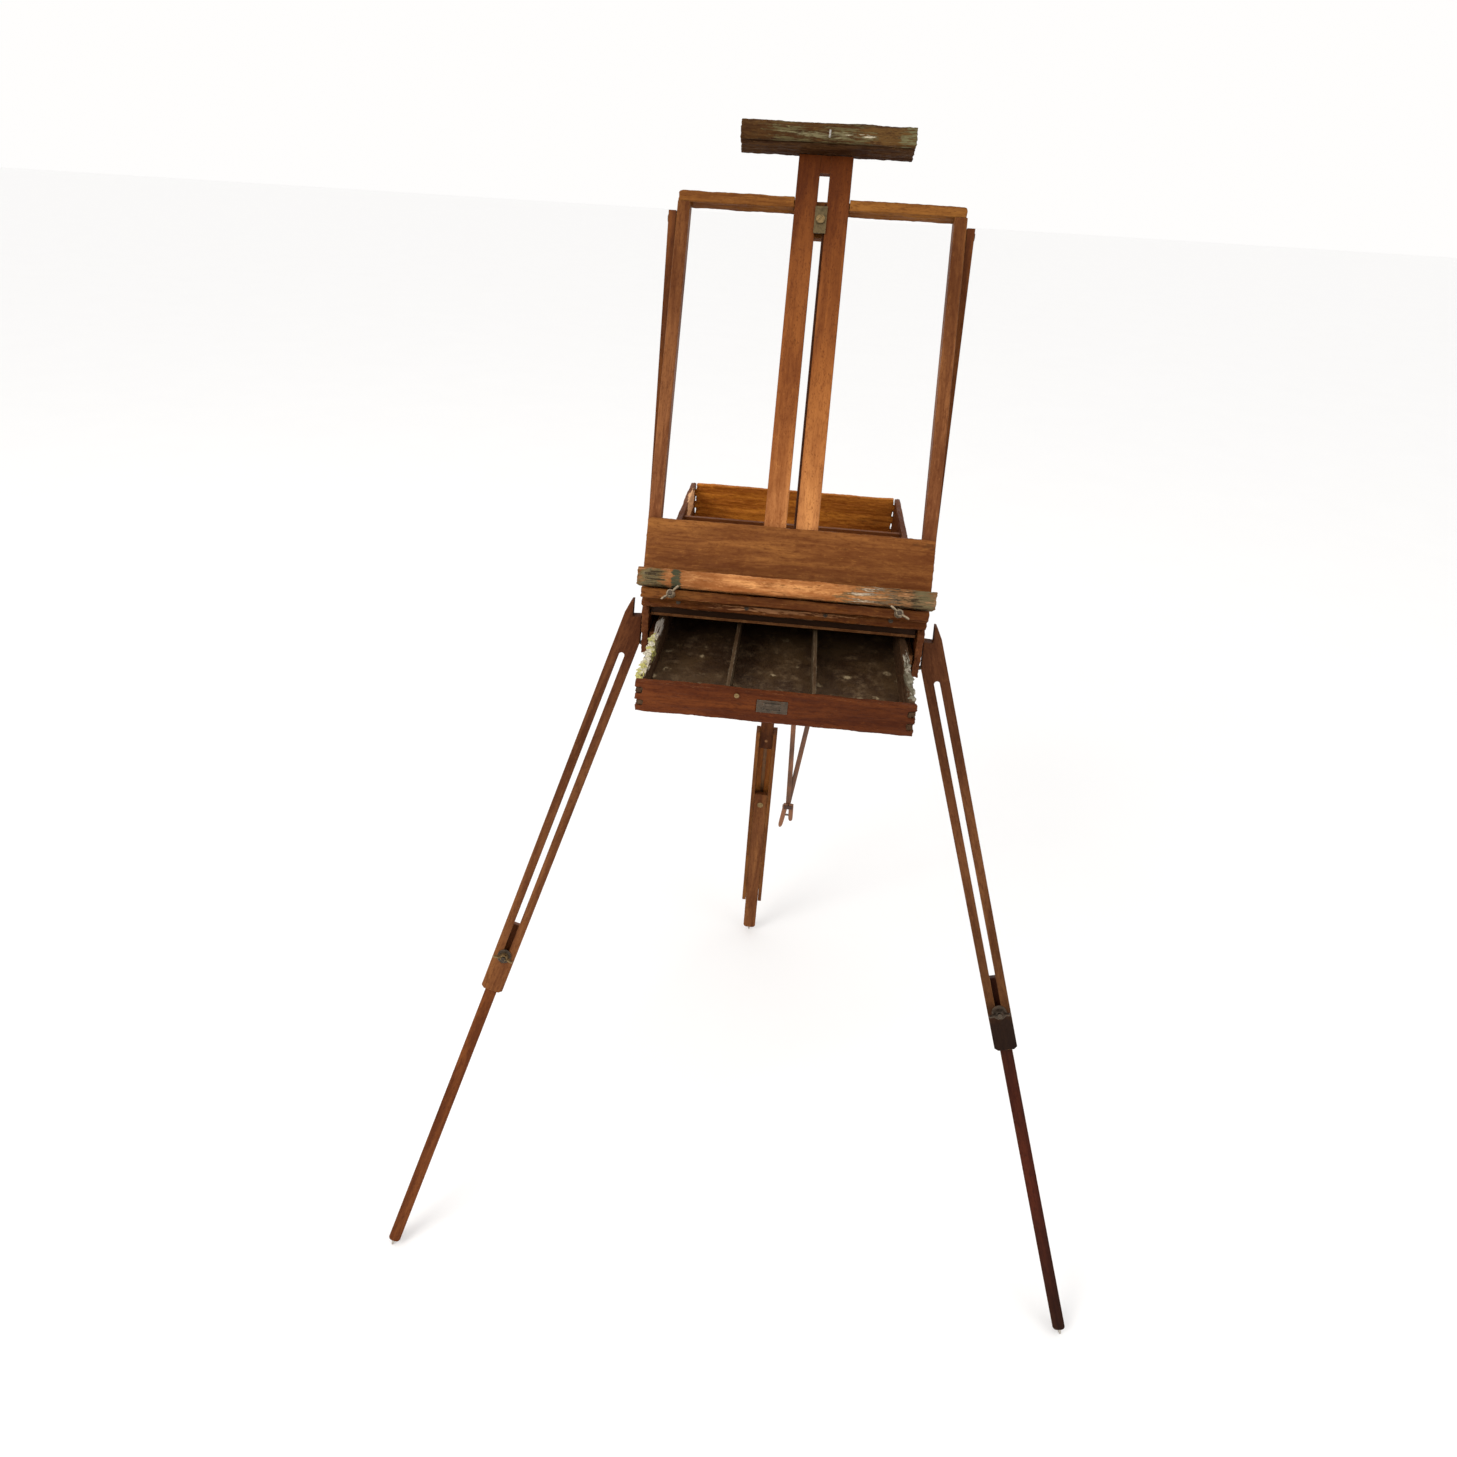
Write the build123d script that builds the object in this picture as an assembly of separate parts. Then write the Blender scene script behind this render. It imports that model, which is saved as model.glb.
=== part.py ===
from build123d import *
import math
import os

# A folding box easel for painting: a shallow wooden box on three telescopic
# legs, with a drawer for the paints and a slotted mast that rises from a
# tilting lid frame. Millimetres. X is to the painter's right, Y runs away from
# the painter, Z is up. The origin is on the floor under the middle of the
# whole easel.

# ---- driving dimensions, in the box's own frame (Z = 0 under the box) ----
BOX_WIDTH = 410.0
BOX_DEPTH = 598.0
BOX_HEIGHT = 86.0
BOX_WALL = 12.5
BOTTOM_THICK = 4.5
FRONT_CHAMFER = 16.0
FINGERS = 7

FLOOR_DROP = 884.0            # from the underside of the box to the floor

LID_ANGLE = 61.2              # lid from horizontal, as it stands in use
LID_BASE_Z = 93.8             # where the lid's front plane meets the box's front plane
LID_TOP = 583.0
LID_DEPTH = 24.0
RAIL_WIDTH = 18.0
TOP_RAIL_HEIGHT = 17.0
HINGE_U = 4.8                 # lid hinge axis, up the lid
HINGE_V = -24.5               # lid hinge axis, behind the lid's front plane

MAST_WIDTH = 77.0
MAST_SLOT = 14.0
MAST_THICK = 10.0
MAST_FRONT = -1.0
MAST_LOW = 66.0
MAST_HIGH = 642.0
HEAD_WIDTH = 245.0
HEAD_HEIGHT = 28.0
HEAD_REACH = 34.0
CLAMP_U = 550.0

LEDGE_WIDTH = 418.0
LEDGE_REACH = 38.0

HINGE_X = 140.0

STAY_WIDTH = 20.0
STAY_THICK = 11.0
STAY_PIVOT_U = 545.0
STAY_PIVOT_V = -12.0
STAY_TILT = 11.1
STAY_LENGTH = 524.7

DRAWER_WIDTH = 366.0
DRAWER_LENGTH = 395.0
DRAWER_HEIGHT = 48.0
DRAWER_LOW = 5.6
DRAWER_OUT = 183.0            # how far the drawer stands out of the box
DRAWER_SIDE = 10.0
DRAWER_FRONT_THICK = 13.0

LEG_SPLAY = 0.33              # outward run of a front leg for one down
LEG_LEAN = 0.48               # forward run of a front leg for one down
LEG_PIVOT_X = 225.1
LEG_PIVOT_Y = 15.0
LEG_PIVOT_Z = 18.0
LEG_TOP_Z = 70.0
STAY_SWEEP_X = 220.6          # a closing stay's foot passes inside this and above the next
STAY_SWEEP_Z = 49.0
LEG_THICK = 14.0
LEG_TOP_WIDTH = 37.0
LEG_END_WIDTH = 33.0
LEG_END = 580.0
LEG_SLOT = 8.5
LEG_SLOT_START = 24.0
LOWER_LEG_WIDTH = 18.0
LOWER_LEG_THICK = 12.0
LOWER_LEG_START = 475.0
LEG_BOLT = 522.0
PIN_RADIUS = 2.2
PIN_OUT = 10.0
PIN_TIP = 4.0
PIN_TIP_RADIUS = 1.2

REAR_PIVOT_X = -10.0
REAR_PIVOT_Y = 400.0
REAR_PIVOT_Z = -24.0
REAR_LEAN = 0.035              # backward run of the rear leg for one down
BAR_WIDTH = 26.0
BAR_THICK = 10.0
BAR_END = 372.0
CHANNEL_WIDTH = 42.0
CHANNEL_RAIL = 7.6
CHANNEL_DEPTH = 26.0
CHANNEL_START = 326.0
CHANNEL_END = 768.0
CHANNEL_BOLT = 352.0
REAR_LEG_START = 478.0

STRAP_WIDTH = 11.0
STRAP_THICK = 3.0
STRAP_DROP = 682.0

BOLT_RADIUS = 3.0
BORE_PLAY = 0.06
SLIDE_GAP = 0.3

os.makedirs("parts", exist_ok=True)

nodes = {}


def block(x0, x1, y0, y1, z0, z1):
    """A rectangular board between two corners."""
    centre = Pos((x0 + x1) / 2, (y0 + y1) / 2, (z0 + z1) / 2)
    return centre * Box(abs(x1 - x0), abs(y1 - y0), abs(z1 - z0))


def rod(start, end, radius):
    """A round bar between two points."""
    a = Vector(*start)
    b = Vector(*end)
    plane = Plane(origin=a, z_dir=b - a)
    return extrude(plane * Circle(radius), amount=(b - a).length)


def group(*pieces):
    """Separate solids that share one node."""
    solids = []
    for piece in pieces:
        solids.extend(piece.solids())
    return Compound(children=solids)


def mirrored(shape):
    """The same piece on the other side of the easel."""
    return mirror(shape, about=Plane.YZ)


def softened(shape, size, axis):
    """A board with the long edges along one axis eased."""
    return chamfer(shape.edges().filter_by(axis), size)


def finger_zones(low, high, count):
    """The heights of the interlocking fingers of a corner joint."""
    step = (high - low) / count
    return [(low + step * i, low + step * (i + 1)) for i in range(count)]


def wing_nut(bore):
    """A wing nut that sits on the plane Z = 0, with its wings along X."""
    hub = Cone(6.6, 4.8, 9.0, align=(Align.CENTER, Align.CENTER, Align.MIN))
    outline = make_face(Polyline((2.0, 1.0), (7.5, 2.0), (15.0, 9.0), (15.5, 14.0),
                                 (11.5, 15.0), (2.0, 8.0), close=True))
    wing = Pos(0, 1.3, 0) * extrude(Plane.XZ * outline, amount=2.6)
    other = wing.rotate(Axis.Z, 180)
    hole = Pos(0, 0, -1) * Cylinder(bore, 20, align=(Align.CENTER, Align.CENTER, Align.MIN))
    return hub + wing + other - hole


# ---- frames of reference ----
lid_place = Location((0, 0, LID_BASE_Z)) * Rot(LID_ANGLE, 0, 0)

across = Vector(1, 0, LEG_SPLAY).normalized()
down_leg = Vector(LEG_SPLAY, -LEG_LEAN, -1).normalized()
behind_leg = across.cross(down_leg)
leg_pivot = Vector(LEG_PIVOT_X, LEG_PIVOT_Y, LEG_PIVOT_Z)
leg_place = Plane(origin=leg_pivot, x_dir=across, z_dir=behind_leg).location

down_rear = Vector(0, REAR_LEAN, -1).normalized()
behind_rear = Vector(1, 0, 0).cross(down_rear)
rear_pivot = Vector(REAR_PIVOT_X, REAR_PIVOT_Y, REAR_PIVOT_Z)
rear_place = Plane(origin=rear_pivot, x_dir=(1, 0, 0), z_dir=behind_rear).location



def reach_to_floor(pivot, down, behind, middle):
    """Length from a leg's pivot to the floor, along a pin that lies behind the pivot."""
    rim = PIN_TIP_RADIUS * math.sqrt(1 - down.Z ** 2)
    return (FLOOR_DROP + pivot.Z + middle * behind.Z - rim) / -down.Z


BEHIND = LEG_THICK / 2 + SLIDE_GAP
CHANNEL_FRONT = -BAR_THICK / 2 - 0.3 - 12.0
LEG_FRONT = CHANNEL_FRONT + 1.0
LEG_BACK = -BAR_THICK / 2 - 0.4
leg_length = reach_to_floor(leg_pivot, down_leg, behind_leg, BEHIND + LOWER_LEG_THICK / 2)
rear_length = reach_to_floor(rear_pivot, down_rear, behind_rear, (LEG_FRONT + LEG_BACK) / 2)
lid_hinge = (lid_place * Pos(0, HINGE_U, HINGE_V)).position
leg_fold = math.degrees(math.acos(down_leg.Y))


# ---- the box ----
def box_side():
    """The right side board, with half the fingers of the back corner."""
    x1 = BOX_WIDTH / 2
    x0 = x1 - BOX_WALL
    side = block(x0, x1, 0, BOX_DEPTH, 0, BOX_HEIGHT)
    corner = side.edges().filter_by(Axis.X).sort_by(Axis.Y)[0:2].sort_by(Axis.Z)[-1]
    side = chamfer(corner, FRONT_CHAMFER)
    for i, (low, high) in enumerate(finger_zones(0, BOX_HEIGHT, FINGERS)):
        if i % 2:
            side -= block(x0 - 1, x1 + 1, BOX_DEPTH - BOX_WALL, BOX_DEPTH + 1, low, high)
    side -= rod(leg_pivot - across * 60, leg_pivot, BOLT_RADIUS)
    return side


def box_back():
    """The back board, with the other half of the fingers."""
    half = BOX_WIDTH / 2
    back = block(-half, half, BOX_DEPTH - BOX_WALL, BOX_DEPTH, 0, BOX_HEIGHT)
    for i, (low, high) in enumerate(finger_zones(0, BOX_HEIGHT, FINGERS)):
        if not i % 2:
            back -= block(half - BOX_WALL, half + 1, BOX_DEPTH - 20, BOX_DEPTH + 1, low, high)
            back -= block(-half - 1, -half + BOX_WALL, BOX_DEPTH - 20, BOX_DEPTH + 1, low, high)
    return back


INNER = BOX_WIDTH / 2 - BOX_WALL
PARTITION_Y = 402.0
TRAY_LOW = 58.0

right_side = box_side()
nodes["box_right_side"] = right_side
nodes["box_left_side"] = mirrored(right_side)
nodes["box_back"] = box_back()
nodes["box_bottom"] = block(-INNER, INNER, 2.0, BOX_DEPTH - BOX_WALL, 0, BOTTOM_THICK)


def hinge_rail():
    """The cross rail at the front of the box, notched for the hinges' knuckles."""
    rail = softened(block(-INNER, INNER, 16, 36, TRAY_LOW + 4, BOX_HEIGHT - 2), 1.0, Axis.X)
    for x in (-HINGE_X, HINGE_X):
        rail -= block(x - 19, x + 19, lid_hinge.Y - 4.5, lid_hinge.Y + 4.5, BOX_HEIGHT - 4.5, BOX_HEIGHT)
    return rail


nodes["box_cross_boards"] = group(
    hinge_rail(),
    block(-INNER, INNER, PARTITION_Y, PARTITION_Y + 8, BOTTOM_THICK, BOX_HEIGHT - 6),
)
nodes["tray_floor"] = block(-INNER, INNER, 16, PARTITION_Y, TRAY_LOW, TRAY_LOW + 4)


def drawer_guide():
    """One runner strip between the box's side and the drawer."""
    x0 = DRAWER_WIDTH / 2 + SLIDE_GAP
    return block(x0, INNER, 6, PARTITION_Y, BOTTOM_THICK, BOTTOM_THICK + 30)


nodes["drawer_guides"] = group(drawer_guide(), mirrored(drawer_guide()))

# ---- lid hinges: two brass butts between the hinge rail and the lid's rails ----
KNUCKLE_RADIUS = 3.2
HINGE_PIN = 1.5


def box_hinge():
    """The fixed leaf with its two outer knuckles."""
    y = lid_hinge.Y
    z = lid_hinge.Z
    leaf = block(HINGE_X - 18, HINGE_X + 18, y + 1.0, y + 12.0, BOX_HEIGHT - 2, BOX_HEIGHT - 0.6)
    leaf -= block(HINGE_X - 6.3, HINGE_X + 6.3, y - 1, y + 4.2, 0, 200)
    for x0 in (HINGE_X - 18, HINGE_X + 6.3):
        leaf += rod((x0, y, z), (x0 + 11.7, y, z), KNUCKLE_RADIUS)
    leaf -= rod((HINGE_X - 20, y, z), (HINGE_X + 20, y, z), HINGE_PIN)
    return leaf


def hinge_pin():
    """The pin that both leaves turn on."""
    y = lid_hinge.Y
    z = lid_hinge.Z
    return rod((HINGE_X - 18, y, z), (HINGE_X + 18, y, z), HINGE_PIN)


def lid_hinge_leaf():
    """The moving leaf, under the lid's cross rail, with the middle knuckle."""
    barrel = rod((HINGE_X - 6, HINGE_U, HINGE_V), (HINGE_X + 6, HINGE_U, HINGE_V), KNUCKLE_RADIUS)
    leaf = block(HINGE_X - 6, HINGE_X + 6, HINGE_U + 2.4, HINGE_U + 34, -LID_DEPTH + 0.4, -LID_DEPTH + 2.0)
    leaf += block(HINGE_X - 17, HINGE_X + 17, HINGE_U + 6, HINGE_U + 34, -LID_DEPTH + 0.4, -LID_DEPTH + 2.0)
    hole = rod((HINGE_X - 8, HINGE_U, HINGE_V), (HINGE_X + 8, HINGE_U, HINGE_V), HINGE_PIN + BORE_PLAY)
    return lid_place * (barrel + leaf - hole)


nodes["box_hinges"] = group(box_hinge(), mirrored(box_hinge()), hinge_pin(), mirrored(hinge_pin()))
nodes["lid_hinge_leaves"] = group(lid_hinge_leaf(), mirrored(lid_hinge_leaf()))


# ---- the tilting lid frame (X, up the lid, out of the lid) ----
def lid_part(x0, x1, u0, u1, v0, v1):
    """A board of the lid frame."""
    return lid_place * block(x0, x1, u0, u1, v0, v1)


HALF = BOX_WIDTH / 2
RAIL_LOW = 8.0
CROSS_RAIL_BACK = -LID_DEPTH + 2.2


def lid_rail():
    """The right side rail, drilled for the stay's pivot bolt."""
    rail = softened(block(HALF - RAIL_WIDTH, HALF, RAIL_LOW, LID_TOP - TOP_RAIL_HEIGHT, -LID_DEPTH, 0), 1.0, Axis.Y)
    rail -= rod((HALF - 15, STAY_PIVOT_U, STAY_PIVOT_V), (HALF + 5, STAY_PIVOT_U, STAY_PIVOT_V), BOLT_RADIUS)
    return lid_place * rail


def lid_top_rail():
    """The top rail, notched in front for the mast to slide through."""
    rail = block(-HALF, HALF, LID_TOP - TOP_RAIL_HEIGHT, LID_TOP, -LID_DEPTH, 0)
    ends = rail.edges().filter_by(Axis.Z).group_by(Axis.Y)[-1]
    rail = fillet(ends, 5.0)
    notch = MAST_WIDTH / 2 + 0.5
    rail -= block(-notch, notch, LID_TOP - 30, LID_TOP + 5, MAST_FRONT - MAST_THICK - 0.5, 5)
    return lid_place * rail


def mast_guides():
    """The low cross rail behind the mast and the clamp block under the top rail."""
    back = MAST_FRONT - MAST_THICK - 0.5
    low = block(-HALF + RAIL_WIDTH, HALF - RAIL_WIDTH, 12, 42, CROSS_RAIL_BACK, back)
    high = block(-32, 32, CLAMP_U - 20, LID_TOP - TOP_RAIL_HEIGHT, -LID_DEPTH + 2, back)
    high -= rod((0, CLAMP_U, -30), (0, CLAMP_U, 5), BOLT_RADIUS)
    return group(lid_place * low, lid_place * high)


nodes["lid_side_rails"] = group(lid_rail(), mirrored(lid_rail()))
nodes["lid_top_rail"] = lid_top_rail()
nodes["lid_board"] = lid_part(-HALF, HALF, 12, 113, 0, 8)
nodes["lid_front_rail"] = lid_part(-HALF + 1, HALF - 1, -14.7, RAIL_LOW, -8, 4)
nodes["mast_guides"] = mast_guides()

# ---- the canvas ledge along the foot of the lid ----
LEDGE_LOW = 11.0
LEDGE_HIGH = 37.5
SHELF_THICK = 9.0
LEDGE_HALF = LEDGE_WIDTH / 2
LEDGE_BOLT_X = 158.0
LEDGE_BOLT_U = 2.5


def ledge_battens():
    """The thin batten that carries the ledge, drilled for its two bolts."""
    batten = block(-LEDGE_HALF + 6, LEDGE_HALF - 6, -5.0, LEDGE_LOW, 8, 26)
    batten += block(-LEDGE_HALF + 6, LEDGE_HALF - 6, -5.0, RAIL_LOW + 3, 4, 8.5)
    for x in (-LEDGE_BOLT_X, LEDGE_BOLT_X):
        batten -= rod((x, LEDGE_BOLT_U, 2), (x, LEDGE_BOLT_U, 40), BOLT_RADIUS)
    return lid_place * batten


nodes["ledge_shelf"] = lid_part(-LEDGE_HALF, LEDGE_HALF, LEDGE_LOW, LEDGE_LOW + SHELF_THICK, 8, LEDGE_REACH - 9)
nodes["ledge_lip"] = lid_place * softened(
    block(-LEDGE_HALF, LEDGE_HALF, LEDGE_LOW, LEDGE_HIGH, LEDGE_REACH - 9, LEDGE_REACH), 2.0, Axis.X)
nodes["ledge_batten"] = ledge_battens()


def lid_bolts():
    """Ledge bolts, stay pivot bolts and the mast's clamp bolt with its plate."""
    bolts = []
    for x in (-LEDGE_BOLT_X, LEDGE_BOLT_X):
        bolts.append(rod((x, LEDGE_BOLT_U, 4), (x, LEDGE_BOLT_U, LEDGE_REACH + 12), BOLT_RADIUS))
    stay_bolt = rod((HALF - 15, STAY_PIVOT_U, STAY_PIVOT_V),
                    (HALF + STAY_THICK + 2, STAY_PIVOT_U, STAY_PIVOT_V), BOLT_RADIUS)
    stay_bolt += rod((HALF + STAY_THICK + 1.2, STAY_PIVOT_U, STAY_PIVOT_V),
                     (HALF + STAY_THICK + 2.4, STAY_PIVOT_U, STAY_PIVOT_V), 5.0)
    bolts.append(stay_bolt)
    bolts.append(mirrored(stay_bolt))
    return group(*[lid_place * bolt for bolt in bolts])


def mast_clamp():
    """The clamp bolt through the mast's slot, with its long plate and round head."""
    bolt = rod((0, CLAMP_U, -40), (0, CLAMP_U, 2), BOLT_RADIUS)
    plate = block(-8.5, 8.5, CLAMP_U - 19, CLAMP_U + 19, 0.2, 2.0)
    head = rod((0, CLAMP_U, 1.5), (0, CLAMP_U, 4.0), 5.5)
    return lid_place * (bolt + plate + head)


nodes["lid_bolts"] = lid_bolts()
nodes["mast_clamp_bolt"] = mast_clamp()


def lid_nut(x, u, v, angle):
    """A wing nut on the front of the lid, with its wings turned by an angle."""
    nut = wing_nut(BOLT_RADIUS + BORE_PLAY)
    return lid_place * (Pos(x, u, v) * nut.rotate(Axis.Z, angle))


def ledge_nut(x, angle):
    """A ledge nut on a long collar, so that its wings turn in front of the lip."""
    collar = rod((x, LEDGE_BOLT_U, 26.2), (x, LEDGE_BOLT_U, LEDGE_REACH + 1.5), 5.6)
    collar -= rod((x, LEDGE_BOLT_U, 20), (x, LEDGE_BOLT_U, 50), BOLT_RADIUS + BORE_PLAY)
    return lid_nut(x, LEDGE_BOLT_U, LEDGE_REACH + 0.8, angle) + lid_place * collar


nodes["left_ledge_wing_nut"] = ledge_nut(-LEDGE_BOLT_X, 42)
nodes["right_ledge_wing_nut"] = ledge_nut(LEDGE_BOLT_X, -32)


def mast_nut():
    """The round clamp nut behind the lid's clamp block."""
    body = rod((0, CLAMP_U, -LID_DEPTH + 1.8), (0, CLAMP_U, -36), 8.5)
    body -= rod((0, CLAMP_U, -20), (0, CLAMP_U, -45), BOLT_RADIUS + BORE_PLAY)
    return lid_place * body


nodes["mast_clamp_nut"] = mast_nut()

# ---- the mast that slides through the lid's top rail ----
MAST_BACK = MAST_FRONT - MAST_THICK
HALF_SLOT = MAST_SLOT / 2
END_BLOCK = 25.0


def mast_slat():
    """The right slat of the mast."""
    slat = block(HALF_SLOT, MAST_WIDTH / 2, MAST_LOW, MAST_HIGH, MAST_BACK, MAST_FRONT)
    return lid_place * softened(slat, 0.8, Axis.Y)


def mast_end(u0, u1):
    """A filler that closes the slot at one end of the mast."""
    return lid_part(-HALF_SLOT, HALF_SLOT, u0, u1, MAST_BACK + 0.5, MAST_FRONT - 0.5)


def head_bar():
    """The lower part of the clamp head, glued across the top of the slats."""
    bar = block(-HEAD_WIDTH / 2, HEAD_WIDTH / 2, MAST_HIGH, MAST_HIGH + HEAD_HEIGHT - 4, MAST_BACK, HEAD_REACH - 11)
    return lid_place * softened(bar, 1.2, Axis.X)


def head_face():
    """The front strip of the clamp head, which holds the canvas down."""
    strip = block(-HEAD_WIDTH / 2, HEAD_WIDTH / 2, MAST_HIGH, MAST_HIGH + HEAD_HEIGHT, HEAD_REACH - 11, HEAD_REACH)
    return lid_place * softened(strip, 2.0, Axis.X)


nodes["mast_slats"] = group(
    mast_slat(),
    mirrored(mast_slat()),
    mast_end(MAST_LOW, MAST_LOW + END_BLOCK),
    mast_end(MAST_HIGH - END_BLOCK, MAST_HIGH),
)
nodes["head_bar"] = head_bar()
nodes["head_face"] = head_face()
nodes["head_pin"] = lid_place * rod((2, MAST_HIGH + 14, HEAD_REACH + 1.4), (2, MAST_HIGH + 2, HEAD_REACH + 8), 1.5)


# ---- the stays that hold the lid at its tilt ----
def stay():
    """The right stay: a flat strip on the outside of the lid, square at the top and rounded at the foot."""
    strip = Pos(0, -STAY_LENGTH / 2) * SlotCenterToCenter(STAY_LENGTH, STAY_WIDTH, rotation=90)
    strip += Pos(0, -4) * Rectangle(STAY_WIDTH, 26)
    shape = extrude(Plane.XY * strip, amount=STAY_THICK)
    shape -= Cylinder(BOLT_RADIUS + BORE_PLAY, 60)
    return shape


stay_turn = Location((HALF + 0.8, STAY_PIVOT_U, STAY_PIVOT_V)) * Rot(STAY_TILT, 0, 0)
stay_face = Plane(origin=(0, 0, 0), x_dir=(0, 0, -1), z_dir=(1, 0, 0)).location
stay_place = lid_place * stay_turn * stay_face


def stay_bolt():
    """The clamp bolt at the stay's foot, with its flat head."""
    bolt = rod((0, -STAY_LENGTH, 0), (0, -STAY_LENGTH, STAY_THICK + 2), BOLT_RADIUS)
    head = rod((0, -STAY_LENGTH, STAY_THICK), (0, -STAY_LENGTH, STAY_THICK + 3), 7.0)
    return bolt + head


right_stay = stay() - rod((0, -STAY_LENGTH, -1), (0, -STAY_LENGTH, 30), BOLT_RADIUS)
nodes["right_stay"] = stay_place * right_stay
nodes["left_stay"] = mirrored(nodes["right_stay"])
nodes["right_stay_bolt"] = stay_place * stay_bolt()
nodes["left_stay_bolt"] = mirrored(nodes["right_stay_bolt"])

# ---- the drawer ----
DRAWER_HALF = DRAWER_WIDTH / 2
DRAWER_Y0 = -DRAWER_OUT
DRAWER_Y1 = DRAWER_Y0 + DRAWER_LENGTH
DRAWER_TOP = DRAWER_LOW + DRAWER_HEIGHT
DRAWER_FINGERS = 5
LINER_THICK = 1.0
DRAWER_FLOOR = 4.0


def drawer_front():
    """The drawer's front board, with half the fingers of its corners."""
    board = block(-DRAWER_HALF, DRAWER_HALF, DRAWER_Y0, DRAWER_Y0 + DRAWER_FRONT_THICK, DRAWER_LOW, DRAWER_TOP)
    low_edge = board.edges().filter_by(Axis.X).group_by(Axis.Z)[0].sort_by(Axis.Y)[0]
    board = fillet(low_edge, 4.0)
    for i, (low, high) in enumerate(finger_zones(DRAWER_LOW, DRAWER_TOP, DRAWER_FINGERS)):
        if i % 2:
            inner = DRAWER_HALF - DRAWER_SIDE
            y1 = DRAWER_Y0 + DRAWER_FRONT_THICK + 1
            board -= block(inner, DRAWER_HALF + 1, DRAWER_Y0 - 1, y1, low, high)
            board -= block(-DRAWER_HALF - 1, -inner, DRAWER_Y0 - 1, y1, low, high)
    board -= block(-22.5, 17.5, DRAWER_Y0 - 1, DRAWER_Y0 + 3, DRAWER_LOW + 18, DRAWER_LOW + 36)
    return board


def drawer_side():
    """The drawer's right side, with the other half of the fingers."""
    x0 = DRAWER_HALF - DRAWER_SIDE
    side = block(x0, DRAWER_HALF, DRAWER_Y0, DRAWER_Y1, DRAWER_LOW, DRAWER_TOP)
    for i, (low, high) in enumerate(finger_zones(DRAWER_LOW, DRAWER_TOP, DRAWER_FINGERS)):
        if not i % 2:
            side -= block(x0 - 1, DRAWER_HALF + 1, DRAWER_Y0 - 1, DRAWER_Y0 + DRAWER_FRONT_THICK, low, high)
    return side


DRAWER_INNER = DRAWER_HALF - DRAWER_SIDE
WELL_Y0 = DRAWER_Y0 + DRAWER_FRONT_THICK
WELL_Y1 = DRAWER_Y1 - 9.0
DIVIDER_THICK = 5.0
DIVIDER_XS = (-DRAWER_INNER + 0.32 * 2 * DRAWER_INNER, -DRAWER_INNER + 0.645 * 2 * DRAWER_INNER)


def divider(x):
    """A thin board that parts the drawer's wells."""
    half = DIVIDER_THICK / 2
    return block(x - half, x + half, WELL_Y0, WELL_Y1, DRAWER_LOW + DRAWER_FLOOR + LINER_THICK, DRAWER_TOP - 4)


nodes["drawer_front"] = drawer_front()
nodes["drawer_sides"] = group(drawer_side(), mirrored(drawer_side()))
nodes["drawer_back"] = block(-DRAWER_INNER, DRAWER_INNER, WELL_Y1, DRAWER_Y1, DRAWER_LOW, DRAWER_TOP)
nodes["drawer_bottom"] = block(-DRAWER_INNER, DRAWER_INNER, WELL_Y0, WELL_Y1, DRAWER_LOW, DRAWER_LOW + DRAWER_FLOOR)
nodes["drawer_liner"] = block(-DRAWER_INNER, DRAWER_INNER, WELL_Y0, WELL_Y1,
                              DRAWER_LOW + DRAWER_FLOOR, DRAWER_LOW + DRAWER_FLOOR + LINER_THICK)
nodes["drawer_dividers"] = group(*[divider(x) for x in DIVIDER_XS])


def drawer_catch():
    """The flush iron catch let into the drawer's front."""
    z0 = DRAWER_LOW + 18
    plate = block(-22.5, 17.5, DRAWER_Y0 + 0.5, DRAWER_Y0 + 3, z0, z0 + 18)
    plate -= block(-14, 9, DRAWER_Y0 - 1, DRAWER_Y0 + 1.7, z0 + 4, z0 + 12)
    lip = block(-14, 9, DRAWER_Y0 - 1.5, DRAWER_Y0 + 1.7, z0 + 12, z0 + 14)
    return plate + lip


nodes["drawer_catch"] = drawer_catch()


# ---- front legs (local X outward across the leg, Y down it, Z behind it) ----
def upper_leg_body():
    """The slotted upper leg, cut off flush beside the box's wall."""
    top = LEG_TOP_WIDTH / 2
    end = LEG_END_WIDTH / 2
    outline = Polyline((-end, LEG_END - 4), (-top, 30), (-top, -95), (top - 9, -95),
                       (top, -34), (top, 30), (end, LEG_END - 4))
    foot = Line((end, LEG_END - 4), (end - 5, LEG_END))
    sole = Line((end - 5, LEG_END), (-end + 5, LEG_END))
    heel = Line((-end + 5, LEG_END), (-end, LEG_END - 4))
    face = make_face([*outline.edges(), foot, sole, heel])
    leg = Pos(0, 0, -LEG_THICK / 2) * extrude(Plane.XY * face, amount=LEG_THICK)
    slot_length = LEG_END - 46 - LEG_SLOT_START
    slot = Pos(0, LEG_SLOT_START + slot_length / 2) * SlotOverall(slot_length, LEG_SLOT, rotation=90)
    leg -= Pos(0, 0, -20) * extrude(Plane.XY * slot, amount=40)
    leg -= rod((-60, 0, 0), (60, 0, 0), BOLT_RADIUS + BORE_PLAY)
    placed = leg_place * leg
    wall_gap = BOX_WIDTH / 2 + 2.6
    keep = block(wall_gap, wall_gap + 700, -700, 700, -1000, LEG_TOP_Z)
    stay_way = block(wall_gap - 5, STAY_SWEEP_X, 0, 70, STAY_SWEEP_Z, BOX_HEIGHT)
    return (placed & keep) - stay_way


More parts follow.
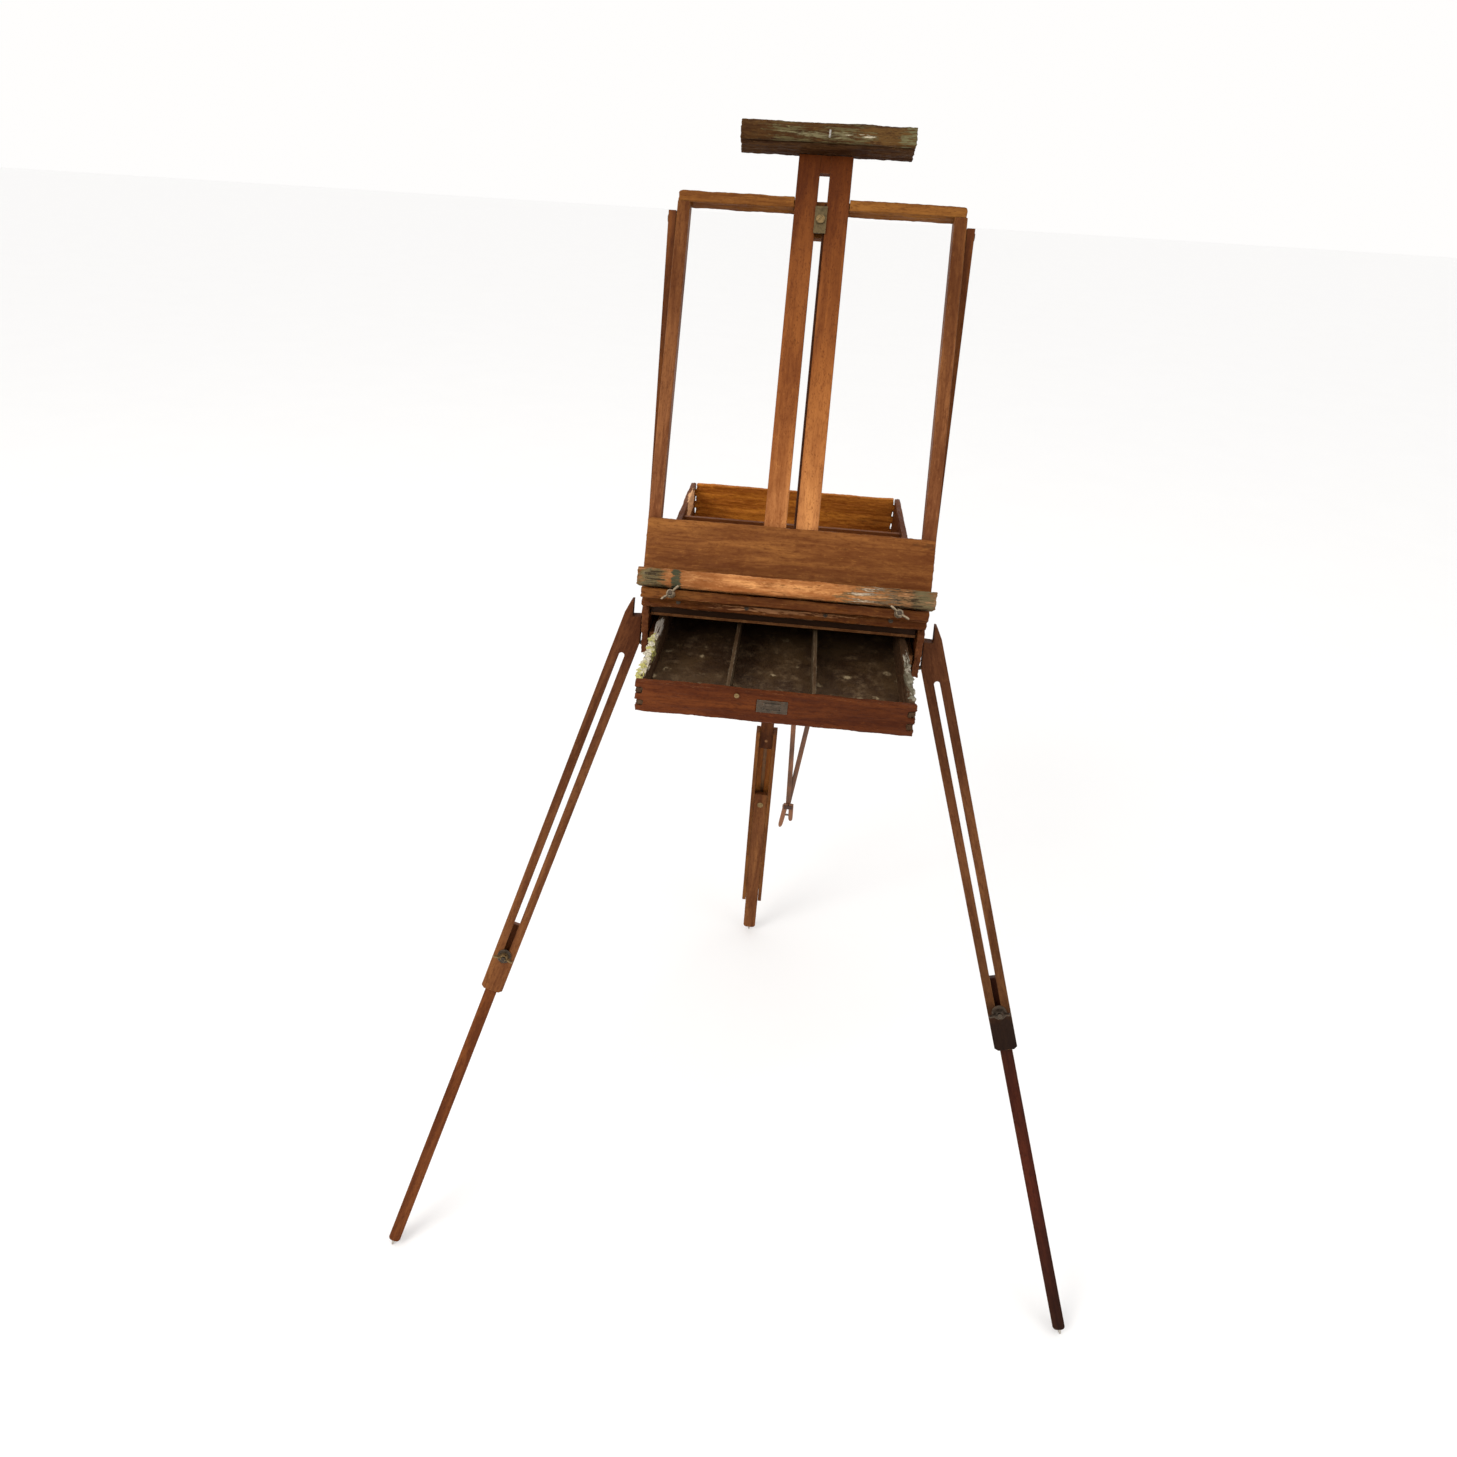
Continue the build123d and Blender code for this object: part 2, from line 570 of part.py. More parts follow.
def lower_leg_body():
    """The lower leg that slides behind the upper one, rounded at the foot."""
    end = leg_length - PIN_OUT
    shape = block(-LOWER_LEG_WIDTH / 2, LOWER_LEG_WIDTH / 2, LOWER_LEG_START, end, BEHIND, BEHIND + LOWER_LEG_THICK)
    tip = shape.edges().filter_by(Axis.Z).group_by(Axis.Y)[-1]
    shape = fillet(tip, 6.5)
    shape -= rod((0, LEG_BOLT, 0), (0, LEG_BOLT, 40), BOLT_RADIUS)
    middle = BEHIND + LOWER_LEG_THICK / 2
    shape -= rod((0, end - 20, middle), (0, end + 5, middle), PIN_RADIUS)
    return leg_place * shape


def foot_pin():
    """The steel spike in the foot."""
    middle = BEHIND + LOWER_LEG_THICK / 2
    end = leg_length - PIN_OUT
    pin = rod((0, end - 20, middle), (0, end + 6, middle), PIN_RADIUS)
    point = Plane(origin=(0, end + 6, middle), x_dir=(1, 0, 0), z_dir=(0, 1, 0)) * Circle(PIN_RADIUS)
    tip = Plane(origin=(0, end + 6 + PIN_TIP, middle), x_dir=(1, 0, 0), z_dir=(0, 1, 0)) * Circle(PIN_TIP_RADIUS)
    return leg_place * (pin + loft([point, tip]))


def leg_clamp():
    """The bolt and round clamp plate that lock the two halves of a leg."""
    front = -LEG_THICK / 2 - SLIDE_GAP
    plate = rod((0, LEG_BOLT, front - 1.8), (0, LEG_BOLT, front), 10.5)
    plate -= rod((0, LEG_BOLT, -30), (0, LEG_BOLT, 0), BOLT_RADIUS)
    bolt = rod((0, LEG_BOLT, front - 16), (0, LEG_BOLT, BEHIND + LOWER_LEG_THICK + 1), BOLT_RADIUS)
    bolt += rod((0, LEG_BOLT, BEHIND + LOWER_LEG_THICK), (0, LEG_BOLT, BEHIND + LOWER_LEG_THICK + 2.5), 6.0)
    return group(leg_place * plate, leg_place * bolt)


def leg_nut():
    """The wing nut of a leg's clamp."""
    front = -LEG_THICK / 2 - SLIDE_GAP - 2.0
    nut = wing_nut(BOLT_RADIUS + BORE_PLAY).rotate(Axis.X, 180)
    return leg_place * (Pos(0, LEG_BOLT, front) * nut)


for name, shape in (("upper_leg", upper_leg_body()), ("lower_leg", lower_leg_body()), ("foot_pin", foot_pin()),
                    ("leg_clamp", leg_clamp()), ("leg_wing_nut", leg_nut())):
    nodes["right_" + name] = shape
    nodes["left_" + name] = mirrored(shape)


def leg_pivot_bolt():
    """The pivot bolt of a front leg, cut off flush with the leg's outer edge."""
    start = leg_pivot - across * 30
    end = leg_pivot + across * (LEG_TOP_WIDTH / 2 - 0.4)
    return rod(start, end, BOLT_RADIUS)


nodes["leg_pivot_bolts"] = group(leg_pivot_bolt(), mirrored(leg_pivot_bolt()))


# ---- the rear leg (local X across, Y down it, Z behind it) ----
def rear_bar():
    """The hinged bar under the box that the channel slides on."""
    bar = block(-BAR_WIDTH / 2, BAR_WIDTH / 2, -13, BAR_END, -BAR_THICK / 2, BAR_THICK / 2)
    bar = fillet(bar.edges().filter_by(Axis.X), 4.9)
    bar -= rod((-40, 0, 0), (40, 0, 0), BOLT_RADIUS + BORE_PLAY)
    bar -= rod((0, CHANNEL_BOLT, -20), (0, CHANNEL_BOLT, 20), BOLT_RADIUS)
    return rear_place * bar


WEB_Z = BAR_THICK / 2 + 0.3
WEB_THICK = 4.5
WEB_HALF = CHANNEL_WIDTH / 2 - CHANNEL_RAIL
WASHER_Z = WEB_Z + WEB_THICK + 0.25   # the long clamp washer that covers the slot from behind


def channel_rail():
    """The right rail of the sliding channel, with a small foot horn."""
    x0 = WEB_HALF
    rail = block(x0, CHANNEL_WIDTH / 2, CHANNEL_START, CHANNEL_END, CHANNEL_FRONT, WEB_Z + WEB_THICK)
    return rear_place * softened(rail, 0.8, Axis.Y)


def channel_web():
    """The slotted back of the channel."""
    web = block(-WEB_HALF, WEB_HALF, CHANNEL_START, CHANNEL_END - 14, WEB_Z, WEB_Z + WEB_THICK)
    slot_end = CHANNEL_END - 90
    length = slot_end - CHANNEL_START - 16
    slot = Pos(0, CHANNEL_START + 16 + length / 2) * SlotOverall(length, 7.0, rotation=90)
    web -= Pos(0, 0, WEB_Z - 5) * extrude(Plane.XY * slot, amount=20)
    return rear_place * web


def rear_lower_leg():
    """The sliding foot of the rear leg, in front of the bar in the same channel."""
    end = rear_length - PIN_OUT
    half = WEB_HALF - SLIDE_GAP
    shape = block(-half, half, REAR_LEG_START, end, LEG_FRONT, LEG_BACK)
    tip = shape.edges().filter_by(Axis.Z).group_by(Axis.Y)[-1]
    shape = fillet(tip, 8.0)
    middle = (LEG_FRONT + LEG_BACK) / 2
    shape -= rod((0, end - 20, middle), (0, end + 5, middle), PIN_RADIUS)
    return rear_place * shape


def rear_foot_pin():
    """The steel spike in the rear foot."""
    middle = (LEG_FRONT + LEG_BACK) / 2
    end = rear_length - PIN_OUT
    pin = rod((0, end - 20, middle), (0, end + 6, middle), PIN_RADIUS)
    base = Plane(origin=(0, end + 6, middle), x_dir=(1, 0, 0), z_dir=(0, 1, 0)) * Circle(PIN_RADIUS)
    tip = Plane(origin=(0, end + 6 + PIN_TIP, middle), x_dir=(1, 0, 0), z_dir=(0, 1, 0)) * Circle(PIN_TIP_RADIUS)
    return rear_place * (pin + loft([base, tip]))


def channel_bolt():
    """The clamp bolt fixed in the bar, which runs in the channel's slot."""
    bolt = rod((0, CHANNEL_BOLT, -BAR_THICK / 2), (0, CHANNEL_BOLT, WEB_Z + WEB_THICK + 18), BOLT_RADIUS)
    return rear_place * (bolt + block(-7, 7, CHANNEL_BOLT - 12, CHANNEL_BOLT + 150, WASHER_Z, WASHER_Z + 1.5))


nodes["rear_leg_bar"] = rear_bar()
nodes["rear_channel_rails"] = group(channel_rail(), Pos(2 * REAR_PIVOT_X) * mirrored(channel_rail()))
nodes["rear_channel_web"] = channel_web()
nodes["rear_lower_leg"] = rear_lower_leg()
nodes["rear_foot_pin"] = rear_foot_pin()
nodes["rear_channel_bolt"] = channel_bolt()
nodes["rear_wing_nut"] = rear_place * (Pos(0, CHANNEL_BOLT, WASHER_Z + 1.8) * wing_nut(BOLT_RADIUS + BORE_PLAY))

CHEEK_X0 = BAR_WIDTH / 2 + 0.6


def bracket_cheek():
    """One wooden cheek of the rear leg's bracket under the box."""
    y0 = REAR_PIVOT_Y - 17
    y1 = REAR_PIVOT_Y + 17
    cheek = block(CHEEK_X0, CHEEK_X0 + 12, y0, y1, REAR_PIVOT_Z - 12, 0)
    low = cheek.edges().filter_by(Axis.X).group_by(Axis.Z)[0]
    cheek = fillet(low, 9.0)
    cheek -= rod((0, REAR_PIVOT_Y, REAR_PIVOT_Z), (60, REAR_PIVOT_Y, REAR_PIVOT_Z), BOLT_RADIUS)
    return cheek


def rear_pivot_bolt():
    """The bolt through the bracket, with a round knob at each end."""
    reach = CHEEK_X0 + 12
    bolt = rod((-reach, REAR_PIVOT_Y, REAR_PIVOT_Z), (reach, REAR_PIVOT_Y, REAR_PIVOT_Z), BOLT_RADIUS)
    for side in (-1, 1):
        bolt += rod((side * reach, REAR_PIVOT_Y, REAR_PIVOT_Z), (side * (reach + 7), REAR_PIVOT_Y, REAR_PIVOT_Z), 7.5)
    return bolt


nodes["rear_leg_bracket"] = Pos(REAR_PIVOT_X) * group(bracket_cheek(), mirrored(bracket_cheek()))
nodes["rear_pivot_bolt"] = Pos(REAR_PIVOT_X) * rear_pivot_bolt()

# ---- the leather carrying strap hanging from the back of the box ----
STRAP_TOP_Z = 20.0
STRAP_LEFT_X = 26.0
STRAP_RIGHT_X = 124.0
STRAP_LOW_X = 53.0
STRAP_Y = BOX_DEPTH + 5.0


def strap_run(x_top, x_low, y0):
    """One flat strand of the strap."""
    z_low = STRAP_TOP_Z - STRAP_DROP
    half = STRAP_WIDTH / 2
    outline = make_face(Polyline((x_top - half, STRAP_TOP_Z), (x_top + half, STRAP_TOP_Z),
                                 (x_low + half, z_low), (x_low - half, z_low), close=True))
    return Pos(0, y0 + STRAP_THICK, 0) * extrude(Plane.XZ * outline, amount=STRAP_THICK)


def strap_tip(x_low, lean, length):
    """One loose end of the strap, hanging in front of the buckle and cut to a blunt point."""
    z_top = STRAP_TOP_Z - STRAP_DROP + 6
    z_low = z_top - length
    half = STRAP_WIDTH / 2 - 1
    outline = make_face(Polyline((x_low - half, z_top), (x_low + half, z_top), (x_low + lean + half, z_low + 7),
                                 (x_low + lean, z_low), (x_low + lean - half, z_low + 7), close=True))
    return Pos(0, STRAP_Y - 0.6, 0) * extrude(Plane.XZ * outline, amount=STRAP_THICK - 0.4)


def strap_staple(x):
    """A wire staple that holds one end of the strap to the box's back."""
    half = STRAP_WIDTH / 2 + 4
    y1 = STRAP_Y + 2 * STRAP_THICK + 2.5
    wire = rod((x - half, BOX_DEPTH, STRAP_TOP_Z + 3), (x - half, y1, STRAP_TOP_Z + 3), 1.6)
    wire += rod((x + half, BOX_DEPTH, STRAP_TOP_Z + 3), (x + half, y1, STRAP_TOP_Z + 3), 1.6)
    wire += rod((x - half - 1.6, y1, STRAP_TOP_Z + 3), (x + half + 1.6, y1, STRAP_TOP_Z + 3), 1.6)
    return wire


def strap_buckle():
    """The roller buckle that joins the two strands."""
    z1 = STRAP_TOP_Z - STRAP_DROP - 0.4
    x0 = STRAP_LOW_X - 13
    x1 = STRAP_LOW_X + 13
    ring = block(x0, x1, STRAP_Y, STRAP_Y + 4, z1 - 30, z1)
    ring -= block(x0 + 3.5, x1 - 3.5, STRAP_Y - 1, STRAP_Y + 5, z1 - 26.5, z1 - 3.5)
    return ring


nodes["carrying_strap"] = group(
    strap_run(STRAP_LEFT_X, STRAP_LOW_X, STRAP_Y),
    strap_run(STRAP_RIGHT_X, STRAP_LOW_X, STRAP_Y + STRAP_THICK + 0.5),
    strap_tip(STRAP_LOW_X - 5, -9, 68),
    strap_tip(STRAP_LOW_X + 7, 2, 48),
)
nodes["strap_staples"] = group(strap_staple(STRAP_LEFT_X), strap_staple(STRAP_RIGHT_X))
nodes["strap_buckle"] = strap_buckle()

# ---- place everything on the floor and write it out ----
front_y = nodes["right_lower_leg"].bounding_box().min.Y
back_y = nodes["strap_staples"].bounding_box().max.Y
to_floor = Pos(0, -(front_y + back_y) / 2, FLOOR_DROP)
for name, shape in nodes.items():
    export_step(to_floor * shape, f"parts/{name}.step")
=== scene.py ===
"""The looks of an old folding sketch-box easel: oiled beech, worn paint, tarnished fittings and a leather strap."""

import math

import bpy
import numpy as np
from mathutils import Matrix, Vector


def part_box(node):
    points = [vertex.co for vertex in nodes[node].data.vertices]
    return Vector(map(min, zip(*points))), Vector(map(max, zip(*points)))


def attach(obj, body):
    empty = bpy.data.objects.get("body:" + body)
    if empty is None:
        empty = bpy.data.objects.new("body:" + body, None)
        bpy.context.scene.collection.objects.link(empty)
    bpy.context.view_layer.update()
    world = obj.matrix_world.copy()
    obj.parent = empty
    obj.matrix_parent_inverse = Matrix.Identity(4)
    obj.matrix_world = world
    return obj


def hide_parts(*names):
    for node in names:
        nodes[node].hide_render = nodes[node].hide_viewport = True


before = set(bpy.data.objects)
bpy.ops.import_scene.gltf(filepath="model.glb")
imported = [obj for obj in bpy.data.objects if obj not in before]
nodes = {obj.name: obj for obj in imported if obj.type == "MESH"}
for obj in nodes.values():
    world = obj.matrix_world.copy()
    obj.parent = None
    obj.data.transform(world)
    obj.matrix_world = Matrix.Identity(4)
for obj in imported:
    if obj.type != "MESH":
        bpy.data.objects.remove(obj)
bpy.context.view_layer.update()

# ---- directions of the wood, and the lid's own frame ----
LID_TILT = math.radians(61.2)
STAY_TILT = math.radians(72.3)
ACROSS = Vector((1, 0, 0))
BACK = Vector((0, 1, 0))
UP_LID = Vector((0, math.cos(LID_TILT), math.sin(LID_TILT)))
OUT_OF_LID = Vector((0, -math.sin(LID_TILT), math.cos(LID_TILT)))
UP_STAY = Vector((0, math.cos(STAY_TILT), math.sin(STAY_TILT)))
DOWN_RIGHT_LEG = Vector((0.33, -0.48, -1)).normalized()
DOWN_LEFT_LEG = Vector((-0.33, -0.48, -1)).normalized()
DOWN_REAR_LEG = Vector((0, 0.035, -1)).normalized()


def middle(node):
    """The centre of a CAD node's box."""
    low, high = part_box(node)
    return (low + high) / 2


# ---- node trees ----
class Finish:
    """One material, built up node by node."""

    def __init__(self, name):
        self.material = bpy.data.materials.new(name)
        self.material.use_nodes = True
        self.tree = self.material.node_tree
        self.tree.nodes.clear()
        self.place = self.add("ShaderNodeTexCoord").outputs["Object"]

    def add(self, kind, values=None, **settings):
        node = self.tree.nodes.new(kind)
        for key, value in settings.items():
            setattr(node, key, value)
        for key, value in (values or {}).items():
            socket = node.inputs[key]
            if isinstance(value, bpy.types.NodeSocket):
                self.tree.links.new(value, socket)
            else:
                socket.default_value = value
        return node

    def turned(self, along):
        """Object coordinates turned so that X runs along the grain."""
        turn = Vector((1, 0, 0)).rotation_difference(along).inverted().to_euler()
        return self.add("ShaderNodeMapping", {"Vector": self.place, "Rotation": turn}).outputs[0]

    def scaled(self, vector, scale, offset=(0, 0, 0)):
        return self.add("ShaderNodeMapping", {"Vector": vector, "Scale": scale, "Location": offset}).outputs[0]

    def noise(self, vector, scale=1.0, detail=4.0, rough=0.55, twist=0.0):
        node = self.add("ShaderNodeTexNoise", {"Vector": vector, "Scale": scale, "Detail": detail,
                                               "Roughness": rough, "Distortion": twist})
        return node.outputs["Fac"]

    def cells(self, vector, scale=1.0):
        return self.add("ShaderNodeTexVoronoi", {"Vector": vector, "Scale": scale}).outputs["Distance"]

    def band(self, value, low, high, to_low=0.0, to_high=1.0):
        node = self.add("ShaderNodeMapRange", {"Value": value, "From Min": low, "From Max": high,
                                               "To Min": to_low, "To Max": to_high},
                        interpolation_type="SMOOTHSTEP")
        return node.outputs["Result"]

    def maths(self, how, a, b=0.0):
        return self.add("ShaderNodeMath", {0: a, 1: b}, operation=how, use_clamp=how == "ADD").outputs[0]

    def mix(self, share, a, b, how="MIX"):
        node = self.add("ShaderNodeMix", {0: share, 6: a, 7: b}, data_type="RGBA", blend_type=how)
        return node.outputs[2]

    def edges(self, radius, low=0.62, high=0.985):
        """1 on the rounded rims of a solid and 0 on its flat faces, with the rounded normal."""
        rounded = self.add("ShaderNodeBevel", {"Radius": radius}, samples=4).outputs[0]
        flat = self.add("ShaderNodeNewGeometry").outputs["Normal"]
        meeting = self.add("ShaderNodeVectorMath", {0: rounded, 1: flat}, operation="DOT_PRODUCT")
        return self.band(meeting.outputs["Value"], high, low), rounded

    def patch(self, turned, along, centre, reach, cover, grain=(30, 520, 520)):
        """Dry, broken paint round a point, also used for painted shade: 1 on the patch.

        reach is the patch's half size along and across the grain; a higher cover leaves fewer bare spots.
        """
        turn = Vector((1, 0, 0)).rotation_difference(along).inverted()
        centre = turn @ Vector(centre)
        scale = Vector([1 / r for r in reach])
        offset = Vector([-centre[i] * scale[i] for i in range(3)])
        near = self.scaled(turned, scale, offset)
        size = self.add("ShaderNodeVectorMath", {0: near}, operation="LENGTH").outputs["Value"]
        streaks = self.noise(self.scaled(turned, grain), 1.0, 6.0, 0.72)
        blots = self.noise(self.scaled(turned, (28, 150, 150), (0.3, 0.8, 0.1)), 1.0, 5.0, 0.7)
        blots = self.maths("MULTIPLY", blots, 0.45)
        both = self.add("ShaderNodeMath", {0: streaks, 1: 0.55, 2: blots}, operation="MULTIPLY_ADD").outputs[0]
        edge = self.band(size, 1.15, 0.35, -0.30, 0.0)
        value = self.add("ShaderNodeMath", {0: both, 1: edge}, operation="ADD").outputs[0]
        start = 0.60 - 0.22 * cover
        return self.band(value, start, start + 0.035)

    def close(self, colour, rough, metal=0.0, bump=None, depth=0.0003, normal=None, gloss=0.5):
        values = {"Base Color": colour, "Roughness": rough, "Metallic": metal}
        shader = self.add("ShaderNodeBsdfPrincipled", values)
        shader.inputs["Specular IOR Level"].default_value = gloss
        if bump is not None:
            relief = self.add("ShaderNodeBump", {"Height": bump, "Distance": depth, "Strength": 0.8})
            if normal is not None:
                self.tree.links.new(normal, relief.inputs["Normal"])
            self.tree.links.new(relief.outputs[0], shader.inputs["Normal"])
        out = self.add("ShaderNodeOutputMaterial")
        self.tree.links.new(shader.outputs[0], out.inputs[0])
        return self.material


def rgba(colour, gain=1.0):
    """A colour with alpha, made lighter or darker by the gain."""
    return (*[min(1.0, c * gain) for c in colour], 1.0)


def wood(name, along, stops, wear=0.5, worn=(0.5, 0.24, 0.09), dirt=0.4, fleck=0.5, paint=(), rough=0.5,
         contrast=1.0):
    """Beech with long fibres, short dark flecks, rubbed rims, grime, dried paint and patches of painted shade.

    stops are (metres along the grain, colour). Each paint is (centre, reach, colour, cover); a few are painted
    shade.
    """
    f = Finish(name)
    p = f.turned(along)
    low, high = stops[0][0], stops[-1][0]
    if high > low:
        run = f.add("ShaderNodeSeparateXYZ", {0: p}).outputs[0]
        wavy = f.noise(p, 14.0, 3.0)
        run = f.add("ShaderNodeMath", {0: wavy, 1: 0.16 * (high - low), 2: run}, operation="MULTIPLY_ADD")
        run = run.outputs[0]
        run = f.add("ShaderNodeMapRange", {"Value": run, "From Min": low + 0.08 * (high - low),
                                           "From Max": high + 0.08 * (high - low)}).outputs["Result"]
        ramp = f.add("ShaderNodeValToRGB", {0: run})
        band = ramp.color_ramp
        band.elements[0].color = rgba(stops[0][1])
        band.elements[1].color = rgba(stops[-1][1])
        for at, colour in stops[1:-1]:
            step = band.elements.new((at - low) / (high - low))
            step.color = rgba(colour)
        base = ramp.outputs[0]
    else:
        base = rgba(stops[0][1])
    rings = f.noise(f.scaled(p, (5, 60, 60)), 1.0, 3.0, 0.5, 0.8)
    fibre = f.noise(f.scaled(p, (22, 620, 620)), 1.0, 5.0, 0.7)
    tone = f.noise(f.scaled(p, (4, 14, 14), (3.1, 1.7, 0.4)), 1.0, 4.0, 0.6)
    deep = f.mix(1.0, base, (0.40, 0.26, 0.13, 1), "MULTIPLY")
    pale = f.mix(1.0, base, (1.45, 1.60, 1.60, 1), "MULTIPLY")
    colour = f.mix(f.band(rings, 0.36, 0.60, 0.5 * contrast, 0.0), base, deep)
    colour = f.mix(f.band(rings, 0.52, 0.70, 0.0, 0.55 * contrast), colour, pale)
    colour = f.mix(f.band(fibre, 0.52, 0.30, 0.0, 0.55 * contrast), colour, deep)
    colour = f.mix(f.band(tone, 0.55, 0.32, 0.0, 0.6 * contrast), colour, deep)
    colour = f.mix(f.band(tone, 0.56, 0.72, 0.0, 0.4 * contrast), colour, pale)
    spots = f.cells(f.scaled(p, (170, 620, 620)))
    sparse = f.noise(f.scaled(p, (30, 90, 90)), 1.0, 2.0)
    flecks = f.maths("MULTIPLY", f.band(spots, 0.34, 0.14), f.band(sparse, 0.38, 0.54))
    ray = f.noise(f.scaled(p, (75, 240, 240), (1.9, 0.6, 2.7)), 1.0, 5.0, 0.75)
    colour = f.mix(f.band(ray, 0.50, 0.36, 0.0, 0.5 * contrast), colour, deep)
    colour = f.mix(f.band(ray, 0.54, 0.70, 0.0, 0.45 * contrast), colour, pale)
    colour = f.mix(f.maths("MULTIPLY", flecks, fleck), colour, deep)
    grime = f.noise(f.scaled(p, (11, 30, 30), (0.7, 0.2, 0.9)), 1.0, 6.0, 0.7)
    colour = f.mix(f.band(grime, 0.60, 0.74, 0.0, dirt), colour, (0.018, 0.009, 0.004, 1))
    rims, rounded = f.edges(0.0016)
    rub = f.maths("MULTIPLY", rims, f.band(f.noise(f.scaled(p, (40, 120, 120)), 1.0, 4.0, 0.7), 0.42, 0.62))
    colour = f.mix(f.maths("MULTIPLY", rub, wear), colour, rgba(worn))
    height = f.maths("MULTIPLY", fibre, 0.7)
    height = f.maths("SUBTRACT", height, f.maths("MULTIPLY", flecks, 0.25))
    shine = f.band(grime, 0.35, 0.7, rough, rough + 0.2)
    # each patch is dried paint, worn wood or painted shade, as its list says
    for centre, size, tint, cover in paint:
        mask = f.patch(p, along, centre, size, cover)
        crust = f.noise(f.scaled(p, (90, 240, 240)), 1.0, 4.0, 0.7)
        shade = f.mix(crust, rgba(tint, 0.55), rgba(tint, 1.35))
        colour = f.mix(mask, colour, shade)
        height = f.maths("ADD", height, f.maths("MULTIPLY", mask, f.maths("MULTIPLY", crust, 0.8)))
    return f.close(colour, shine, bump=height, depth=0.0006, normal=rounded, gloss=0.10)


def metal(name, dark, rim_wear_and_highlight, rust=(0.10, 0.045, 0.02), metallic=0.85, rough=0.45):
    """Old tarnished metal: dull body, rusty bloom, rubbed rims lightened as a painted highlight, and fine pits."""
    f = Finish(name)
    bloom = f.noise(f.scaled(f.place, (160, 160, 160)), 1.0, 6.0, 0.7)
    pits = f.noise(f.scaled(f.place, (1400, 1400, 1400)), 1.0, 3.0, 0.6)
    colour = f.mix(f.band(bloom, 0.35, 0.62), rgba(dark), rgba(dark, 1.9))
    colour = f.mix(f.band(bloom, 0.55, 0.68, 0.0, 0.7), colour, rgba(rust))
    rims, rounded = f.edges(0.0007)
    # rims: rubbed metal, lightened further as a painted highlight
    colour = f.mix(f.maths("MULTIPLY", rims, f.band(pits, 0.35, 0.6)), colour, rgba(rim_wear_and_highlight))
    height = f.maths("ADD", f.maths("MULTIPLY", pits, 0.5), f.maths("MULTIPLY", bloom, 0.5))
    return f.close(colour, f.band(bloom, 0.3, 0.7, rough - 0.1, rough + 0.2), metal=metallic, bump=height,
                   depth=0.0003, normal=rounded)


def zinc_lining(name):
    """The drawer's blackened sheet lining, with smudges, drips and scratches of old paint."""
    f = Finish(name)
    wide = f.noise(f.scaled(f.place, (14, 14, 14)), 1.0, 6.0, 0.7)
    fine = f.noise(f.scaled(f.place, (70, 55, 70)), 1.0, 6.0, 0.75)
    colour = f.mix(f.band(wide, 0.38, 0.62), (0.052, 0.025, 0.011, 1), (0.105, 0.058, 0.024, 1))
    colour = f.mix(f.band(fine, 0.50, 0.70, 0.0, 0.6), colour, (0.24, 0.155, 0.075, 1))
    dabs = f.cells(f.scaled(f.place, (34, 30, 34)))
    dabs = f.maths("MULTIPLY", f.band(dabs, 0.26, 0.14), f.band(wide, 0.46, 0.56))
    colour = f.mix(f.maths("MULTIPLY", dabs, f.band(fine, 0.45, 0.55)), colour, (0.50, 0.38, 0.22, 1))
    scratch = f.noise(f.scaled(f.place, (380, 9, 380)), 1.0, 3.0, 0.6)
    colour = f.mix(f.band(scratch, 0.68, 0.74, 0.0, 0.5), colour, (0.16, 0.11, 0.07, 1))
    return f.close(colour, f.band(fine, 0.3, 0.7, 0.38, 0.7), metal=0.25, bump=fine, depth=0.0005)


def leather(name, base, edge):
    """Old bridle leather: fine pores, long creases and dark rubbed rims."""
    f = Finish(name)
    pores = f.cells(f.scaled(f.place, (900, 900, 900)))
    crease = f.noise(f.scaled(f.place, (120, 120, 30)), 1.0, 5.0, 0.7)
    tone = f.noise(f.scaled(f.place, (18, 18, 9)), 1.0, 4.0)
    colour = f.mix(f.band(tone, 0.35, 0.65), rgba(base, 0.6), rgba(base, 1.5))
    colour = f.mix(f.band(crease, 0.52, 0.34, 0.0, 0.7), colour, rgba(base, 0.35))
    rims, rounded = f.edges(0.001)
    colour = f.mix(f.maths("MULTIPLY", rims, 0.7), colour, rgba(edge))
    height = f.maths("SUBTRACT", f.maths("MULTIPLY", crease, 0.8), f.maths("MULTIPLY", pores, 0.3))
    return f.close(colour, f.band(crease, 0.3, 0.7, 0.42, 0.68), bump=height, depth=0.0005, normal=rounded)


def dress(material, *names):
    """Give CAD nodes, by name, or objects one material."""
    for name in names:
        thing = nodes[name] if isinstance(name, str) else name
        thing.data.materials.clear()
        thing.data.materials.append(material)


def reach(node, direction):
    """How far a CAD node reaches along a direction, (least, most)."""
    along = [vertex.co.dot(direction) for vertex in nodes[node].data.vertices]
    return min(along), max(along)


# ---- the woods ----
u_of = UP_LID.dot

mast_low = u_of(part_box("mast_slats")[0])
mast_high = u_of(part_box("mast_slats")[1])
mast_long = mast_high - mast_low
# painted light and shade: the mast is lighter at its foot and runs to near-black at its head
mast_shading_tones = [(mast_low, (0.56, 0.235, 0.080)), (mast_low + 0.25 * mast_long, (0.36, 0.125, 0.032)),
              (mast_low + 0.5 * mast_long, (0.245, 0.075, 0.016)), (mast_high, (0.105, 0.024, 0.003))]
mast_wood = wood("mast_beech", UP_LID, mast_shading_tones, wear=0.35, dirt=0.35, fleck=0.75, contrast=0.75)
dress(mast_wood, "mast_slats")

